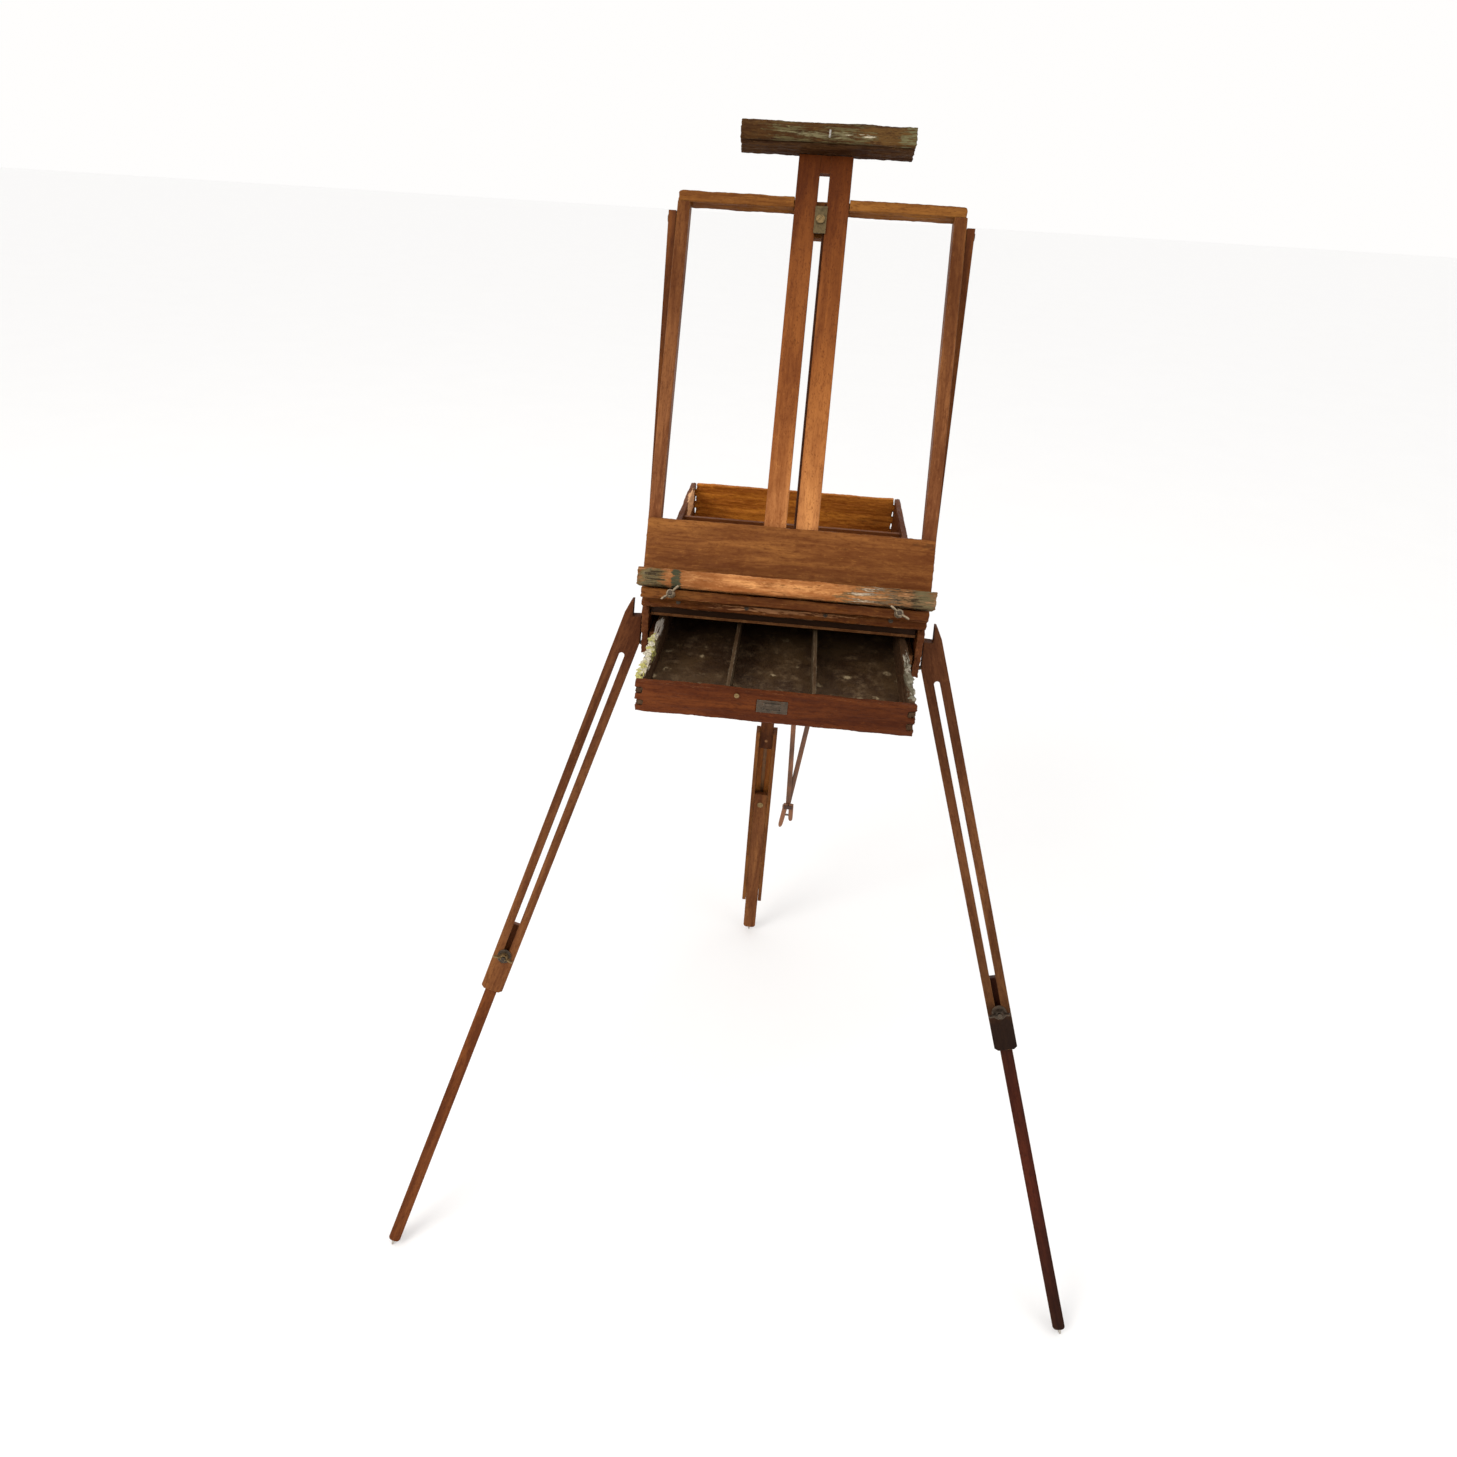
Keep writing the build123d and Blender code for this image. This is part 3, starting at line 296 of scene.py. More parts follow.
low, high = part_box("head_face")
head_mid = (low + high) / 2
head_paint = [
    (head_mid, (0.160, 0.040, 0.040), (0.110, 0.085, 0.035), 0.50),
    (head_mid - UP_LID * 0.004, (0.150, 0.011, 0.011), (0.17, 0.14, 0.07), 0.62),
    (head_mid + ACROSS * -0.035 - UP_LID * 0.0045, (0.060, 0.006, 0.006), (0.62, 0.54, 0.42), 0.56),
    (head_mid + ACROSS * 0.055 - UP_LID * 0.003, (0.070, 0.010, 0.010), (0.50, 0.43, 0.31), 0.44),
    (head_mid + ACROSS * -0.055 + UP_LID * 0.006, (0.014, 0.008, 0.008), (0.36, 0.31, 0.12), 0.55),
    (head_mid + ACROSS * 0.112, (0.030, 0.030, 0.030), (0.15, 0.13, 0.06), 0.55),
]
dress(wood("painted_head", ACROSS, [(0, (0.088, 0.040, 0.010))], wear=0.6, worn=(0.36, 0.27, 0.15), dirt=0.6,
           paint=head_paint, rough=0.6, contrast=1.5), "head_face")
dress(wood("head_beech", ACROSS, [(0, (0.062, 0.026, 0.008))], wear=0.7, dirt=0.6, rough=0.58, contrast=1.5),
      "head_bar")

dress(wood("lid_rail_beech", UP_LID, [(u_of(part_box("lid_side_rails")[0]), (0.26, 0.095, 0.034)),
                                      (u_of(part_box("lid_side_rails")[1]), (0.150, 0.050, 0.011))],
           wear=0.7, dirt=0.4), "lid_side_rails")
dress(wood("top_rail_beech", ACROSS, [(0, (0.215, 0.078, 0.014))], wear=0.6, dirt=0.35), "lid_top_rail",
      "mast_guides")
dress(wood("lid_board_beech", ACROSS, [(0, (0.240, 0.085, 0.019))], wear=0.5, dirt=0.6, contrast=1.1,
           rough=0.46), "lid_board")
rail_low, rail_high = reach("lid_front_rail", UP_LID)
rail_half = (rail_high - rail_low) / 2
rail_mid = middle("lid_front_rail")
batten_mid = middle("ledge_batten")
chips = [
    (batten_mid + UP_LID * 0.005, (0.220, 0.0040, 0.050), (0.66, 0.32, 0.14), 0.62),
    (batten_mid - UP_LID * 0.003, (0.220, 0.0060, 0.050), (0.020, 0.007, 0.003), 0.60),
]
rail_chips_and_shade_line = [
    (rail_mid + UP_LID * rail_half, (0.230, 0.0045, 0.050), (0.50, 0.24, 0.10), 0.66),
    # painted shade: a solid near-black line across the rail, 9 mm below its top edge; the two light patches are
    # worn rims
    (rail_mid + UP_LID * (rail_half - 0.009) + ACROSS * 0.01, (0.120, 0.0032, 0.050), (0.010, 0.004, 0.002), 1.20),
    (rail_mid - UP_LID * rail_half, (0.230, 0.0035, 0.050), (0.42, 0.19, 0.08), 0.60),
]
dress(wood("front_rail_beech", ACROSS, [(0, (0.16, 0.050, 0.009))], wear=1.0, worn=(0.50, 0.25, 0.10), dirt=0.7,
           contrast=1.3, paint=rail_chips_and_shade_line), "lid_front_rail")
dress(wood("stay_beech", UP_STAY, [(0, (0.125, 0.036, 0.007))], wear=0.5, dirt=0.5), "left_stay", "right_stay")

ledge_mid = middle("ledge_shelf")
ledge_paint = [
    (ledge_mid, (0.230, 0.060, 0.060), (0.20, 0.075, 0.018), 0.12),
    (ledge_mid + Vector((-0.190, 0, 0)), (0.045, 0.060, 0.060), (0.15, 0.110, 0.045), 0.68),
    (ledge_mid + Vector((-0.188, 0, 0)), (0.040, 0.060, 0.060), (0.42, 0.34, 0.21), 0.42),
    (ledge_mid + Vector((-0.185, 0, 0)), (0.040, 0.060, 0.060), (0.045, 0.028, 0.012), 0.42),
    (ledge_mid + Vector((-0.153, 0, 0)), (0.012, 0.060, 0.060), (0.060, 0.058, 0.030), 0.85),
    (ledge_mid + Vector((0.125, 0, 0)), (0.115, 0.060, 0.060), (0.16, 0.095, 0.040), 0.62),
    (ledge_mid + Vector((0.130, 0, 0)), (0.100, 0.060, 0.060), (0.52, 0.40, 0.28), 0.44),
    (ledge_mid + Vector((0.190, 0, 0)), (0.040, 0.060, 0.060), (0.14, 0.105, 0.050), 0.62),
    (ledge_mid + Vector((0.150, 0, 0)), (0.090, 0.060, 0.060), (0.040, 0.022, 0.010), 0.42),
]
ledge_wood = wood("worn_ledge", ACROSS, [(-0.21, (0.30, 0.14, 0.055)), (-0.08, (0.62, 0.27, 0.095)),
                                         (0.06, (0.58, 0.25, 0.085)), (0.21, (0.26, 0.15, 0.075))],
                  wear=0.9, worn=(0.72, 0.40, 0.20), dirt=0.55, paint=ledge_paint, rough=0.6, contrast=1.2)
batten_wood = wood("ledge_batten_beech", ACROSS, [(0, (0.17, 0.056, 0.011))], wear=0.95, dirt=0.6, contrast=1.3,
                   paint=chips)
dress(ledge_wood, "ledge_shelf", "ledge_lip")
dress(batten_wood, "ledge_batten")

side_low, side_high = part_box("box_left_side")
torn = [((side_low.x + 0.011, side_high.y - 0.085, side_high.z - 0.018), (0.080, 0.008, 0.034),
         (0.86, 0.42, 0.20), 1.15)]
side_wood = wood("box_side_beech", BACK, [(0, (0.135, 0.042, 0.011))], wear=0.8, dirt=0.5)
torn_wood = wood("torn_side_beech", BACK, [(0, (0.135, 0.042, 0.011))], wear=0.8, dirt=0.5, paint=torn)
dress(side_wood, "box_right_side")
dress(torn_wood, "box_left_side")
# painted light and shade: the box back is lighter at its left end and darker at its right end
dress(wood("box_back_beech", ACROSS, [(-0.2, (0.56, 0.190, 0.022)), (0.2, (0.42, 0.140, 0.018))], wear=0.7,
           dirt=0.4), "box_back")
board_low, board_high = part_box("box_cross_boards")
shadow = [((0, board_low.y, board_high.z), (0.400, 0.060, 0.120), (0.030, 0.012, 0.005), 1.3)]
dress(wood("box_board_beech", ACROSS, [(0, (0.16, 0.050, 0.012))], wear=0.4, dirt=0.6, paint=shadow),
      "box_cross_boards")
dress(wood("hidden_board_beech", ACROSS, [(0, (0.16, 0.050, 0.012))], wear=0.6, dirt=0.5), "drawer_back",
      "rear_leg_bracket")
dress(wood("box_ply", BACK, [(0, (0.20, 0.085, 0.030))], wear=0.4, dirt=0.6), "box_bottom", "tray_floor",
      "drawer_bottom", "drawer_guides")

drawer_low, drawer_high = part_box("drawer_sides")
left_top = Vector((drawer_low.x + 0.005, drawer_low.y, drawer_high.z))
right_top = Vector((drawer_high.x - 0.004, drawer_low.y, drawer_high.z))
crusts = [
    (left_top + BACK * 0.090, (0.110, 0.030, 0.030), (0.17, 0.13, 0.07), 0.6),
    (left_top + BACK * 0.045, (0.050, 0.022, 0.022), (0.66, 0.58, 0.42), 0.55),
    (left_top + Vector((0.002, 0.095, -0.004)), (0.045, 0.020, 0.020), (0.46, 0.43, 0.10), 0.45),
    (left_top + BACK * 0.165, (0.060, 0.018, 0.018), (0.42, 0.37, 0.31), 0.75),
    (right_top + BACK * 0.080, (0.110, 0.018, 0.018), (0.13, 0.11, 0.07), 0.7),
    (right_top + BACK * 0.140, (0.055, 0.016, 0.016), (0.40, 0.36, 0.28), 0.35),
]
dress(wood("drawer_side_beech", BACK, [(0, (0.075, 0.040, 0.020))], wear=0.8, dirt=0.6, paint=crusts, rough=0.6),
      "drawer_sides")
dress(wood("drawer_front_beech", ACROSS, [(-0.18, (0.120, 0.028, 0.005)), (0.18, (0.084, 0.019, 0.003))], wear=0.8,
           worn=(0.42, 0.20, 0.09), dirt=0.5, rough=0.48, contrast=1.1), "drawer_front")
lining = zinc_lining("drawer_lining_sheet")
dress(lining, "drawer_liner")
dress(wood("divider_beech", BACK, [(0, (0.10, 0.065, 0.036))], wear=1.0, worn=(0.36, 0.29, 0.20), dirt=0.7,
           rough=0.6), "drawer_dividers")

for side, down in (("left", DOWN_LEFT_LEG), ("right", DOWN_RIGHT_LEG)):
    top = down.dot(middle(f"{side}_upper_leg")) - 0.33
    foot = top + 0.66
    if side == "left":
        upper = [(top, (0.100, 0.028, 0.008)), (top + 0.3, (0.165, 0.060, 0.020)),
                 (foot, (0.165, 0.056, 0.016))]
        lower = [(foot - 0.1, (0.16, 0.045, 0.010)), (foot + 0.45, (0.13, 0.035, 0.008))]
    else:
        upper = [(top, (0.110, 0.036, 0.012)), (top + 0.33, (0.145, 0.052, 0.017)),
                 (foot - 0.09, (0.110, 0.042, 0.012)), (foot - 0.05, (0.022, 0.009, 0.004)),
                 (foot, (0.014, 0.005, 0.002))]
        lower = [(foot - 0.1, (0.045, 0.010, 0.003)), (foot + 0.2, (0.060, 0.010, 0.003)),
                 (foot + 0.45, (0.022, 0.006, 0.002))]
    dress(wood(f"{side}_upper_leg_beech", down, upper, wear=0.8, dirt=0.35), f"{side}_upper_leg")
    dress(wood(f"{side}_lower_leg_beech", down, lower, wear=0.5, dirt=0.3), f"{side}_lower_leg")

dress(wood("rear_bar_beech", DOWN_REAR_LEG, [(0, (0.10, 0.030, 0.006))], wear=0.6, dirt=0.5), "rear_leg_bar")
dress(wood("rear_rail_beech", DOWN_REAR_LEG, [(0, (0.165, 0.058, 0.013))], wear=0.9, dirt=0.5),
      "rear_channel_rails")
dress(wood("rear_web_beech", DOWN_REAR_LEG, [(0, (0.42, 0.150, 0.030))], wear=0.7, dirt=0.4),
      "rear_channel_web")
dress(wood("rear_foot_beech", DOWN_REAR_LEG, [(0, (0.175, 0.062, 0.018))], wear=0.8, dirt=0.5),
      "rear_lower_leg")

# ---- the metals ----
iron = metal("tarnished_iron", (0.055, 0.040, 0.028), (0.42, 0.36, 0.28))
brass = metal("dull_brass", (0.16, 0.105, 0.045), (0.62, 0.48, 0.26), rust=(0.08, 0.05, 0.02))
plate_brass = metal("blackened_brass", (0.085, 0.060, 0.028), (0.34, 0.26, 0.14), rust=(0.05, 0.03, 0.012))
nut_steel = metal("rubbed_nut_steel", (0.22, 0.17, 0.11), (0.70, 0.62, 0.48), rust=(0.12, 0.06, 0.03),
                  metallic=0.6)
browned = metal("browned_washer", (0.16, 0.070, 0.022), (0.30, 0.17, 0.08), metallic=0.2, rough=0.6)
steel = metal("worn_steel", (0.30, 0.28, 0.25), (0.75, 0.72, 0.66), rust=(0.15, 0.08, 0.04))
dress(iron, "leg_pivot_bolts", "rear_pivot_bolt", "left_leg_clamp", "right_leg_clamp", "lid_bolts",
      "strap_staples", "left_stay_bolt", "right_stay_bolt", "mast_clamp_nut", "right_leg_wing_nut",
      "rear_wing_nut", "drawer_catch", "strap_buckle")
dress(nut_steel, "left_ledge_wing_nut", "right_ledge_wing_nut")
dress(brass, "left_leg_wing_nut")
dress(browned, "rear_channel_bolt")
dress(plate_brass, "mast_clamp_bolt")
dress(brass, "box_hinges", "lid_hinge_leaves")
dress(steel, "head_pin", "left_foot_pin", "right_foot_pin", "rear_foot_pin")
hide = leather("old_leather", (0.16, 0.062, 0.024), (0.03, 0.012, 0.006))
dark_hide = leather("keeper_leather", (0.050, 0.018, 0.008), (0.02, 0.008, 0.004))
dress(hide, "carrying_strap")

# ---- pieces made round the frame ----
SAME_POINT = 0.00001
SKIN_CLEAR = 0.0004     # how far a worn copy stays inside its CAD piece


def put_down():
    """Leave edit mode with nothing selected."""
    if bpy.context.object and bpy.context.object.mode != "OBJECT":
        bpy.ops.object.mode_set(mode="OBJECT")
    bpy.ops.object.select_all(action="DESELECT")


def pick_up(thing):
    put_down()
    bpy.context.view_layer.objects.active = thing
    thing.select_set(True)


def settle(thing, name):
    """Apply every modifier and the object's own place, and name it."""
    pick_up(thing)
    for modifier in list(thing.modifiers):
        bpy.ops.object.modifier_apply(modifier=modifier.name)
    bpy.ops.object.transform_apply(location=True, rotation=True, scale=True)
    thing.name = name
    thing.data.name = name
    return thing


def close_seams(thing):
    """Merge a mesh's doubled points and turn its faces outwards."""
    pick_up(thing)
    bpy.ops.object.mode_set(mode="EDIT")
    bpy.ops.mesh.select_all(action="SELECT")
    bpy.ops.mesh.remove_doubles(threshold=SAME_POINT)
    bpy.ops.mesh.normals_make_consistent(inside=False)
    bpy.ops.object.mode_set(mode="OBJECT")


def clone(pattern):
    """A copy of an object, with a mesh of its own."""
    thing = pattern.copy()
    thing.data = pattern.data.copy()
    bpy.context.scene.collection.objects.link(thing)
    return thing


def joined(members):
    """Join meshes into the first of them."""
    put_down()
    for member in members:
        member.select_set(True)
    bpy.context.view_layer.objects.active = members[0]
    bpy.ops.object.join()
    return bpy.context.object


def round_rims(thing, width, segments=2, angle=30):
    """Round every edge that is sharper than the angle, in degrees."""
    rims = thing.modifiers.new("rims", "BEVEL")
    rims.width = width
    rims.segments = segments
    rims.limit_method = "ANGLE"
    rims.angle_limit = math.radians(angle)


def extent(thing):
    """The least and most coordinates of a mesh."""
    points = [vertex.co for vertex in thing.data.vertices]
    return (Vector([min(point[i] for point in points) for i in range(3)]),
            Vector([max(point[i] for point in points) for i in range(3)]))


def cloud(name, size, depth=2):
    """Cloud noise that leaves most of a surface alone and bites in places."""
    texture = bpy.data.textures.new(name, "CLOUDS")
    texture.noise_scale = size
    texture.noise_depth = depth
    texture.contrast = 3.0
    texture.intensity = 1.5
    return texture


gouges = cloud("gouges", 1.0, 3)
pitting = cloud("pitting", 1.0, 4)


def weathered(node, flat, body, voxel, rub, bite, pit, smooth=2, stretch=0.045):
    """A worn copy of a CAD piece: rims rubbed round, long shallow gouges and fine pits, all cut inwards.

    flat is the matrix that turns the piece so that its grain lies along X; rub is the rims' radius;
    bite and pit are the depths of the gouges and the pits; stretch is the gouges' length.
    """
    centre = middle(node)
    thing = clone(nodes[node])
    for key in list(thing.keys()):
        del thing[key]
    thing.parent = None
    thing.data.transform(flat @ Matrix.Translation(-centre))
    close_seams(thing)
    least, most = extent(thing)
    if rub:
        round_rims(thing, rub)
    cast = thing.modifiers.new("skin", "REMESH")
    cast.mode = "VOXEL"
    cast.voxel_size = voxel
    rub_down = thing.modifiers.new("rub", "SMOOTH")
    rub_down.factor = 0.5
    rub_down.iterations = smooth
    guides = []
    for texture, size, depth in ((gouges, (stretch, 0.006, 0.006), bite),
                                 (pitting, (0.010, 0.0022, 0.0022), pit)):
        guide = bpy.data.objects.new("guide", None)
        bpy.context.scene.collection.objects.link(guide)
        guide.location = (0.003, 0.002, 0.001)
        guide.scale = size
        guides.append(guide)
        cut = thing.modifiers.new("cut", "DISPLACE")
        cut.texture = texture
        cut.texture_coords = "OBJECT"
        cut.texture_coords_object = guide
        cut.strength = depth
        cut.mid_level = 1.0
    draw_in = thing.modifiers.new("draw_in", "DISPLACE")
    draw_in.strength = -min(SKIN_CLEAR, voxel * 0.35)
    draw_in.mid_level = 0.0
    bpy.context.view_layer.update()
    settle(thing, f"{node}_worn")
    for guide in guides:
        bpy.data.objects.remove(guide)
    low, high = extent(thing)
    fit = [min(1.0, (most[i] - least[i] - SKIN_CLEAR) / (high[i] - low[i])) for i in range(3)]
    half_way = Matrix.Translation((least + most) / 2)
    thing.data.transform(half_way @ Matrix.Diagonal((*fit, 1)) @ Matrix.Translation(-(low + high) / 2))
    thing.data.transform(Matrix.Translation(centre) @ flat.inverted())
    pick_up(thing)
    bpy.ops.object.shade_smooth_by_angle(angle=math.radians(50))
    dress(nodes[node].data.materials[0], thing)
    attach(thing, body)
    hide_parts(node)


upright = Matrix.Identity(4)
lid_flat = Matrix.Rotation(-LID_TILT, 4, "X")
along_y = Matrix.Rotation(math.radians(-90), 4, "Z")
# each worn wooden piece: its grain, its body, the skin's fineness and the depths of its wear
for node, grain, body, voxel, rub, bite, pit, smooth in (
        ("ledge_lip", lid_flat, "lid", 0.0011, 0.0010, 0.0018, 0.0008, 1),
        ("ledge_shelf", lid_flat, "lid", 0.0011, 0.0010, 0.0014, 0.0008, 1),
        ("ledge_batten", lid_flat, "lid", 0.0012, 0.0009, 0.0012, 0.0007, 1),
        ("lid_front_rail", lid_flat, "lid", 0.0012, 0.0009, 0.0012, 0.0007, 1),
        ("head_bar", lid_flat, "mast", 0.0010, 0.0010, 0.0012, 0.0007, 1),
        ("head_face", lid_flat, "mast", 0.0010, 0.0010, 0.0012, 0.0007, 1),
        ("lid_board", lid_flat, "lid", 0.0017, 0.0012, 0.0009, 0.0004, 2),
        ("lid_top_rail", lid_flat, "lid", 0.0014, 0.0020, 0.0010, 0.0005, 2),
        ("drawer_front", upright, "drawer", 0.0011, 0.0007, 0.0012, 0.0006, 1),
        ("drawer_sides", along_y, "drawer", 0.0013, 0.0008, 0.0018, 0.0008, 1),
        ("box_left_side", along_y, "box", 0.0015, 0.0007, 0.0012, 0.0005, 1),
        ("box_right_side", along_y, "box", 0.0015, 0.0007, 0.0012, 0.0005, 1),
        ("box_back", upright, "box", 0.0013, 0.0007, 0.0010, 0.0005, 1)):
    weathered(node, grain, body, voxel, rub, bite, pit, smooth)

# cast fittings: the wing nuts are rounded like old castings
for node, body in (("left_ledge_wing_nut", "left_ledge_nut"), ("right_ledge_wing_nut", "right_ledge_nut"),
                   ("left_leg_wing_nut", "left_leg_nut"), ("right_leg_wing_nut", "right_leg_nut"),
                   ("rear_wing_nut", "rear_nut")):
    weathered(node, upright, body, 0.00045, 0.0, 0.0003, 0.0002, smooth=4, stretch=0.004)


def slotted_screw(radius, height):
    """A domed screw head standing on the plane Z = 0, with a cut slot along X."""
    put_down()
    bpy.ops.mesh.primitive_cylinder_add(vertices=40, radius=radius, depth=height, location=(0, 0, height / 2))
    head = bpy.context.object
    bpy.ops.object.transform_apply(location=True)
    bpy.ops.object.mode_set(mode="EDIT")
    for side in (-1, 1):
        bpy.ops.mesh.select_all(action="SELECT")
        bpy.ops.mesh.bisect(plane_co=(0, side * radius * 0.16, 0), plane_no=(0, 1, 0))
    bpy.ops.mesh.select_all(action="DESELECT")
    bpy.ops.object.mode_set(mode="OBJECT")
    for face in head.data.polygons:
        face.select = face.normal.z > 0.9 and abs(face.center.y) < radius * 0.1
    bpy.ops.object.mode_set(mode="EDIT")
    bpy.ops.mesh.select_mode(type="FACE")
    bpy.ops.mesh.extrude_region_move(TRANSFORM_OT_translate={"value": (0, 0, -height * 0.55)})
    bpy.ops.object.mode_set(mode="OBJECT")
    round_rims(head, height * 0.35, segments=3)
    pick_up(head)
    bpy.ops.object.modifier_apply(modifier="rims")
    bpy.ops.object.shade_smooth_by_angle(angle=math.radians(40))
    return head


def fix_copy(pattern, name, spot, facing_out, spin, material, body):
    """Copy a small fitting to its spot, facing out of the surface."""
    thing = clone(pattern)
    turn = Vector((0, 0, 1)).rotation_difference(facing_out).to_matrix().to_4x4()
    thing.data.transform(Matrix.Translation(spot) @ turn @ Matrix.Rotation(spin, 4, "Z"))
    thing.name = name
    thing.data.name = name
    dress(material, thing)
    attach(thing, body)


big_screw = slotted_screw(0.0062, 0.0016)
small_screw = slotted_screw(0.0033, 0.0012)
clamp_u = sum(reach("mast_clamp_bolt", UP_LID)) / 2
clamp_v = reach("mast_clamp_bolt", OUT_OF_LID)[1]
fix_copy(big_screw, "mast_clamp_screw", UP_LID * clamp_u + OUT_OF_LID * (clamp_v - 0.0006), OUT_OF_LID, 0.7,
         brass, "lid")

rear_front = ACROSS.cross(DOWN_REAR_LEG) * -1
rear_x = middle("rear_lower_leg").x
rear_top = reach("rear_lower_leg", DOWN_REAR_LEG)[0]
rear_face = reach("rear_lower_leg", rear_front)[1]
spot = ACROSS * rear_x + DOWN_REAR_LEG * (rear_top + 0.026) + rear_front * (rear_face - 0.0002)
fix_copy(big_screw, "rear_foot_screw", spot, rear_front, 0.4, brass, "rear_foot")

front_low, front_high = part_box("drawer_front")
spot = Vector((front_low.x + 0.134, front_low.y - 0.0001, front_high.z - 0.0085))
fix_copy(small_screw, "drawer_front_nail", spot, -BACK, 0.2, brass, "drawer")
for index, x in enumerate((-0.150, -0.052, 0.060, 0.152)):
    spot = Vector((x, 0, 0)) + UP_LID * (sum(reach("lid_front_rail", UP_LID)) / 2 - 0.002)
    spot += OUT_OF_LID * (reach("lid_front_rail", OUT_OF_LID)[1] - 0.0007)
    fix_copy(small_screw, f"front_rail_screw_{index + 1}", spot, OUT_OF_LID, 0.5 + index, iron, "lid")

# a tongue along the right slat's inner edge, inside the mast's slot, coloured near-black as painted shade inside
# the slot
TONGUE_START = 0.030
TONGUE_LONG = 0.480
TONGUE_STEPS = 12
slat_edge = min(vertex.co.x for vertex in nodes["mast_slats"].data.vertices if vertex.co.x > 0.001)
slat_back, slat_front = reach("mast_slats", OUT_OF_LID)
block_low, block_high = reach("mast_slats", UP_LID)
put_down()
bpy.ops.mesh.primitive_plane_add(size=1)
tongue = bpy.context.object
tongue.scale = (0.0034, 0.0050, 1)
bpy.ops.object.transform_apply(location=True, rotation=False, scale=True)
bpy.ops.object.mode_set(mode="EDIT")
bpy.ops.mesh.select_all(action="SELECT")
for step in range(TONGUE_STEPS):
    bpy.ops.mesh.extrude_region_move(TRANSFORM_OT_translate={"value": (0, 0, TONGUE_LONG / TONGUE_STEPS)})
bpy.ops.mesh.select_all(action="SELECT")
bpy.ops.mesh.normals_make_consistent(inside=False)
bpy.ops.object.mode_set(mode="OBJECT")
round_rims(tongue, 0.0005)
settle(tongue, "mast_tongue")
lean = Vector((0, 0, 1)).rotation_difference(UP_LID).to_matrix().to_4x4()
foot = ACROSS * (slat_edge - 0.0017) + UP_LID * (block_low + TONGUE_START)
foot += OUT_OF_LID * ((slat_back + slat_front) / 2 - 0.001)
tongue.data.transform(Matrix.Translation(foot) @ lean)
bpy.ops.object.shade_smooth_by_angle(angle=math.radians(40))
# near-black colour: painted shade inside the mast's slot
dress(wood("tongue_painted_shade_beech", UP_LID, [(0, (0.055, 0.016, 0.004))], wear=0.6, dirt=0.6), tongue)
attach(tongue, "mast")

# dried paint on the drawer's sides
put_down()
bpy.ops.mesh.primitive_ico_sphere_add(subdivisions=3, radius=1.0)
lump = bpy.context.object
swell = lump.modifiers.new("swell", "DISPLACE")
swell.texture = cloud("lumps", 0.8, 2)
swell.strength = 0.7
swell.mid_level = 0.5
pick_up(lump)
bpy.ops.object.modifier_apply(modifier="swell")
bpy.ops.object.shade_smooth()


def dried_paint(name, tones):
    """A lumpy crust in two tones, dark in its hollows."""
    f = Finish(name)
    body = f.noise(f.scaled(f.place, (240, 240, 240)), 1.0, 5.0, 0.7)
    which = f.noise(f.scaled(f.place, (55, 55, 55)), 1.0, 2.0, 0.5)
    colour = f.mix(f.band(which, 0.42, 0.56), rgba(tones[0]), rgba(tones[1]))
    colour = f.mix(f.band(body, 0.50, 0.34, 0.0, 0.8), colour, rgba(tones[2]))
    return f.close(colour, f.band(body, 0.3, 0.7, 0.45, 0.75), bump=body, depth=0.0008)


crust = dried_paint("dried_paint_crust", ((0.62, 0.56, 0.42), (0.44, 0.40, 0.10), (0.07, 0.05, 0.03)))
dull_crust = dried_paint("dull_paint_crust", ((0.30, 0.26, 0.19), (0.16, 0.14, 0.09), (0.04, 0.03, 0.02)))
draw = np.random.default_rng(7)
LUMP_HIGH = 0.0012


def crust_row(name, material, x, lean, y_from, y_to, count, size, body):
    """Overlapping lumps of dried paint along the top edge of a drawer side, joined into one piece."""
    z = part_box("drawer_sides")[1].z
    members = []
    for index in range(count):
        thing = clone(lump)
        wide = size * draw.uniform(0.6, 1.2)
        deep = size * draw.uniform(0.9, 2.4)
        high = LUMP_HIGH * draw.uniform(0.6, 1.3)
        y = y_from + (y_to - y_from) * (index + draw.uniform(-0.3, 0.3)) / count
        spot = Vector((x + draw.uniform(-0.0022, 0.0022), y, z - 0.0022))
        scale = Matrix.Diagonal((wide, deep, high, 1))
        turn = Matrix.Rotation(draw.uniform(-0.5, 0.5), 4, "Z")
        thing.data.transform(Matrix.Translation(spot) @ turn @ scale)
        members.append(thing)
        if index % 3 == 0:
            drip = clone(lump)
            low = Vector((x + lean * 0.0046, y + 0.003, z - draw.uniform(0.006, 0.012)))
            scale = Matrix.Diagonal((0.0010, size * 0.9, 0.0065 * draw.uniform(0.6, 1.2), 1))
            drip.data.transform(Matrix.Translation(low) @ scale)
            members.append(drip)
    piece = joined(members)
    skin = piece.modifiers.new("skin", "REMESH")
    skin.mode = "VOXEL"
    skin.voxel_size = 0.0006
    settle(piece, name)
    bpy.ops.object.shade_smooth()
    dress(material, piece)
    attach(piece, body)


left_x = drawer_low.x + 0.005
right_x = drawer_high.x - 0.005
front_y = drawer_low.y
crust_row("left_paint_crust", crust, left_x, 1, front_y + 0.016, front_y + 0.150, 26, 0.0034, "drawer")
crust_row("right_paint_crust", dull_crust, right_x, -1, front_y + 0.020, front_y + 0.130, 14, 0.0026, "drawer")

# the leather strap, worked strand by strand
STRAP_WIDE = 0.011
STRAND_THICK = 0.0028
TIP_THICK = 0.0024
STATIONS = 16
strap_low, strap_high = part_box("carrying_strap")
staple_low, staple_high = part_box("strap_staples")
buckle_low, buckle_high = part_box("strap_buckle")
left_top_x = staple_low.x + 0.0016 + STRAP_WIDE / 2 + 0.004
right_top_x = staple_high.x - 0.0016 - STRAP_WIDE / 2 - 0.004
near_y = strap_high.y - 0.005
far_y = strap_high.y - 0.0015
low_x = (buckle_low.x + buckle_high.x) / 2
joint_z = buckle_high.z + 0.0004


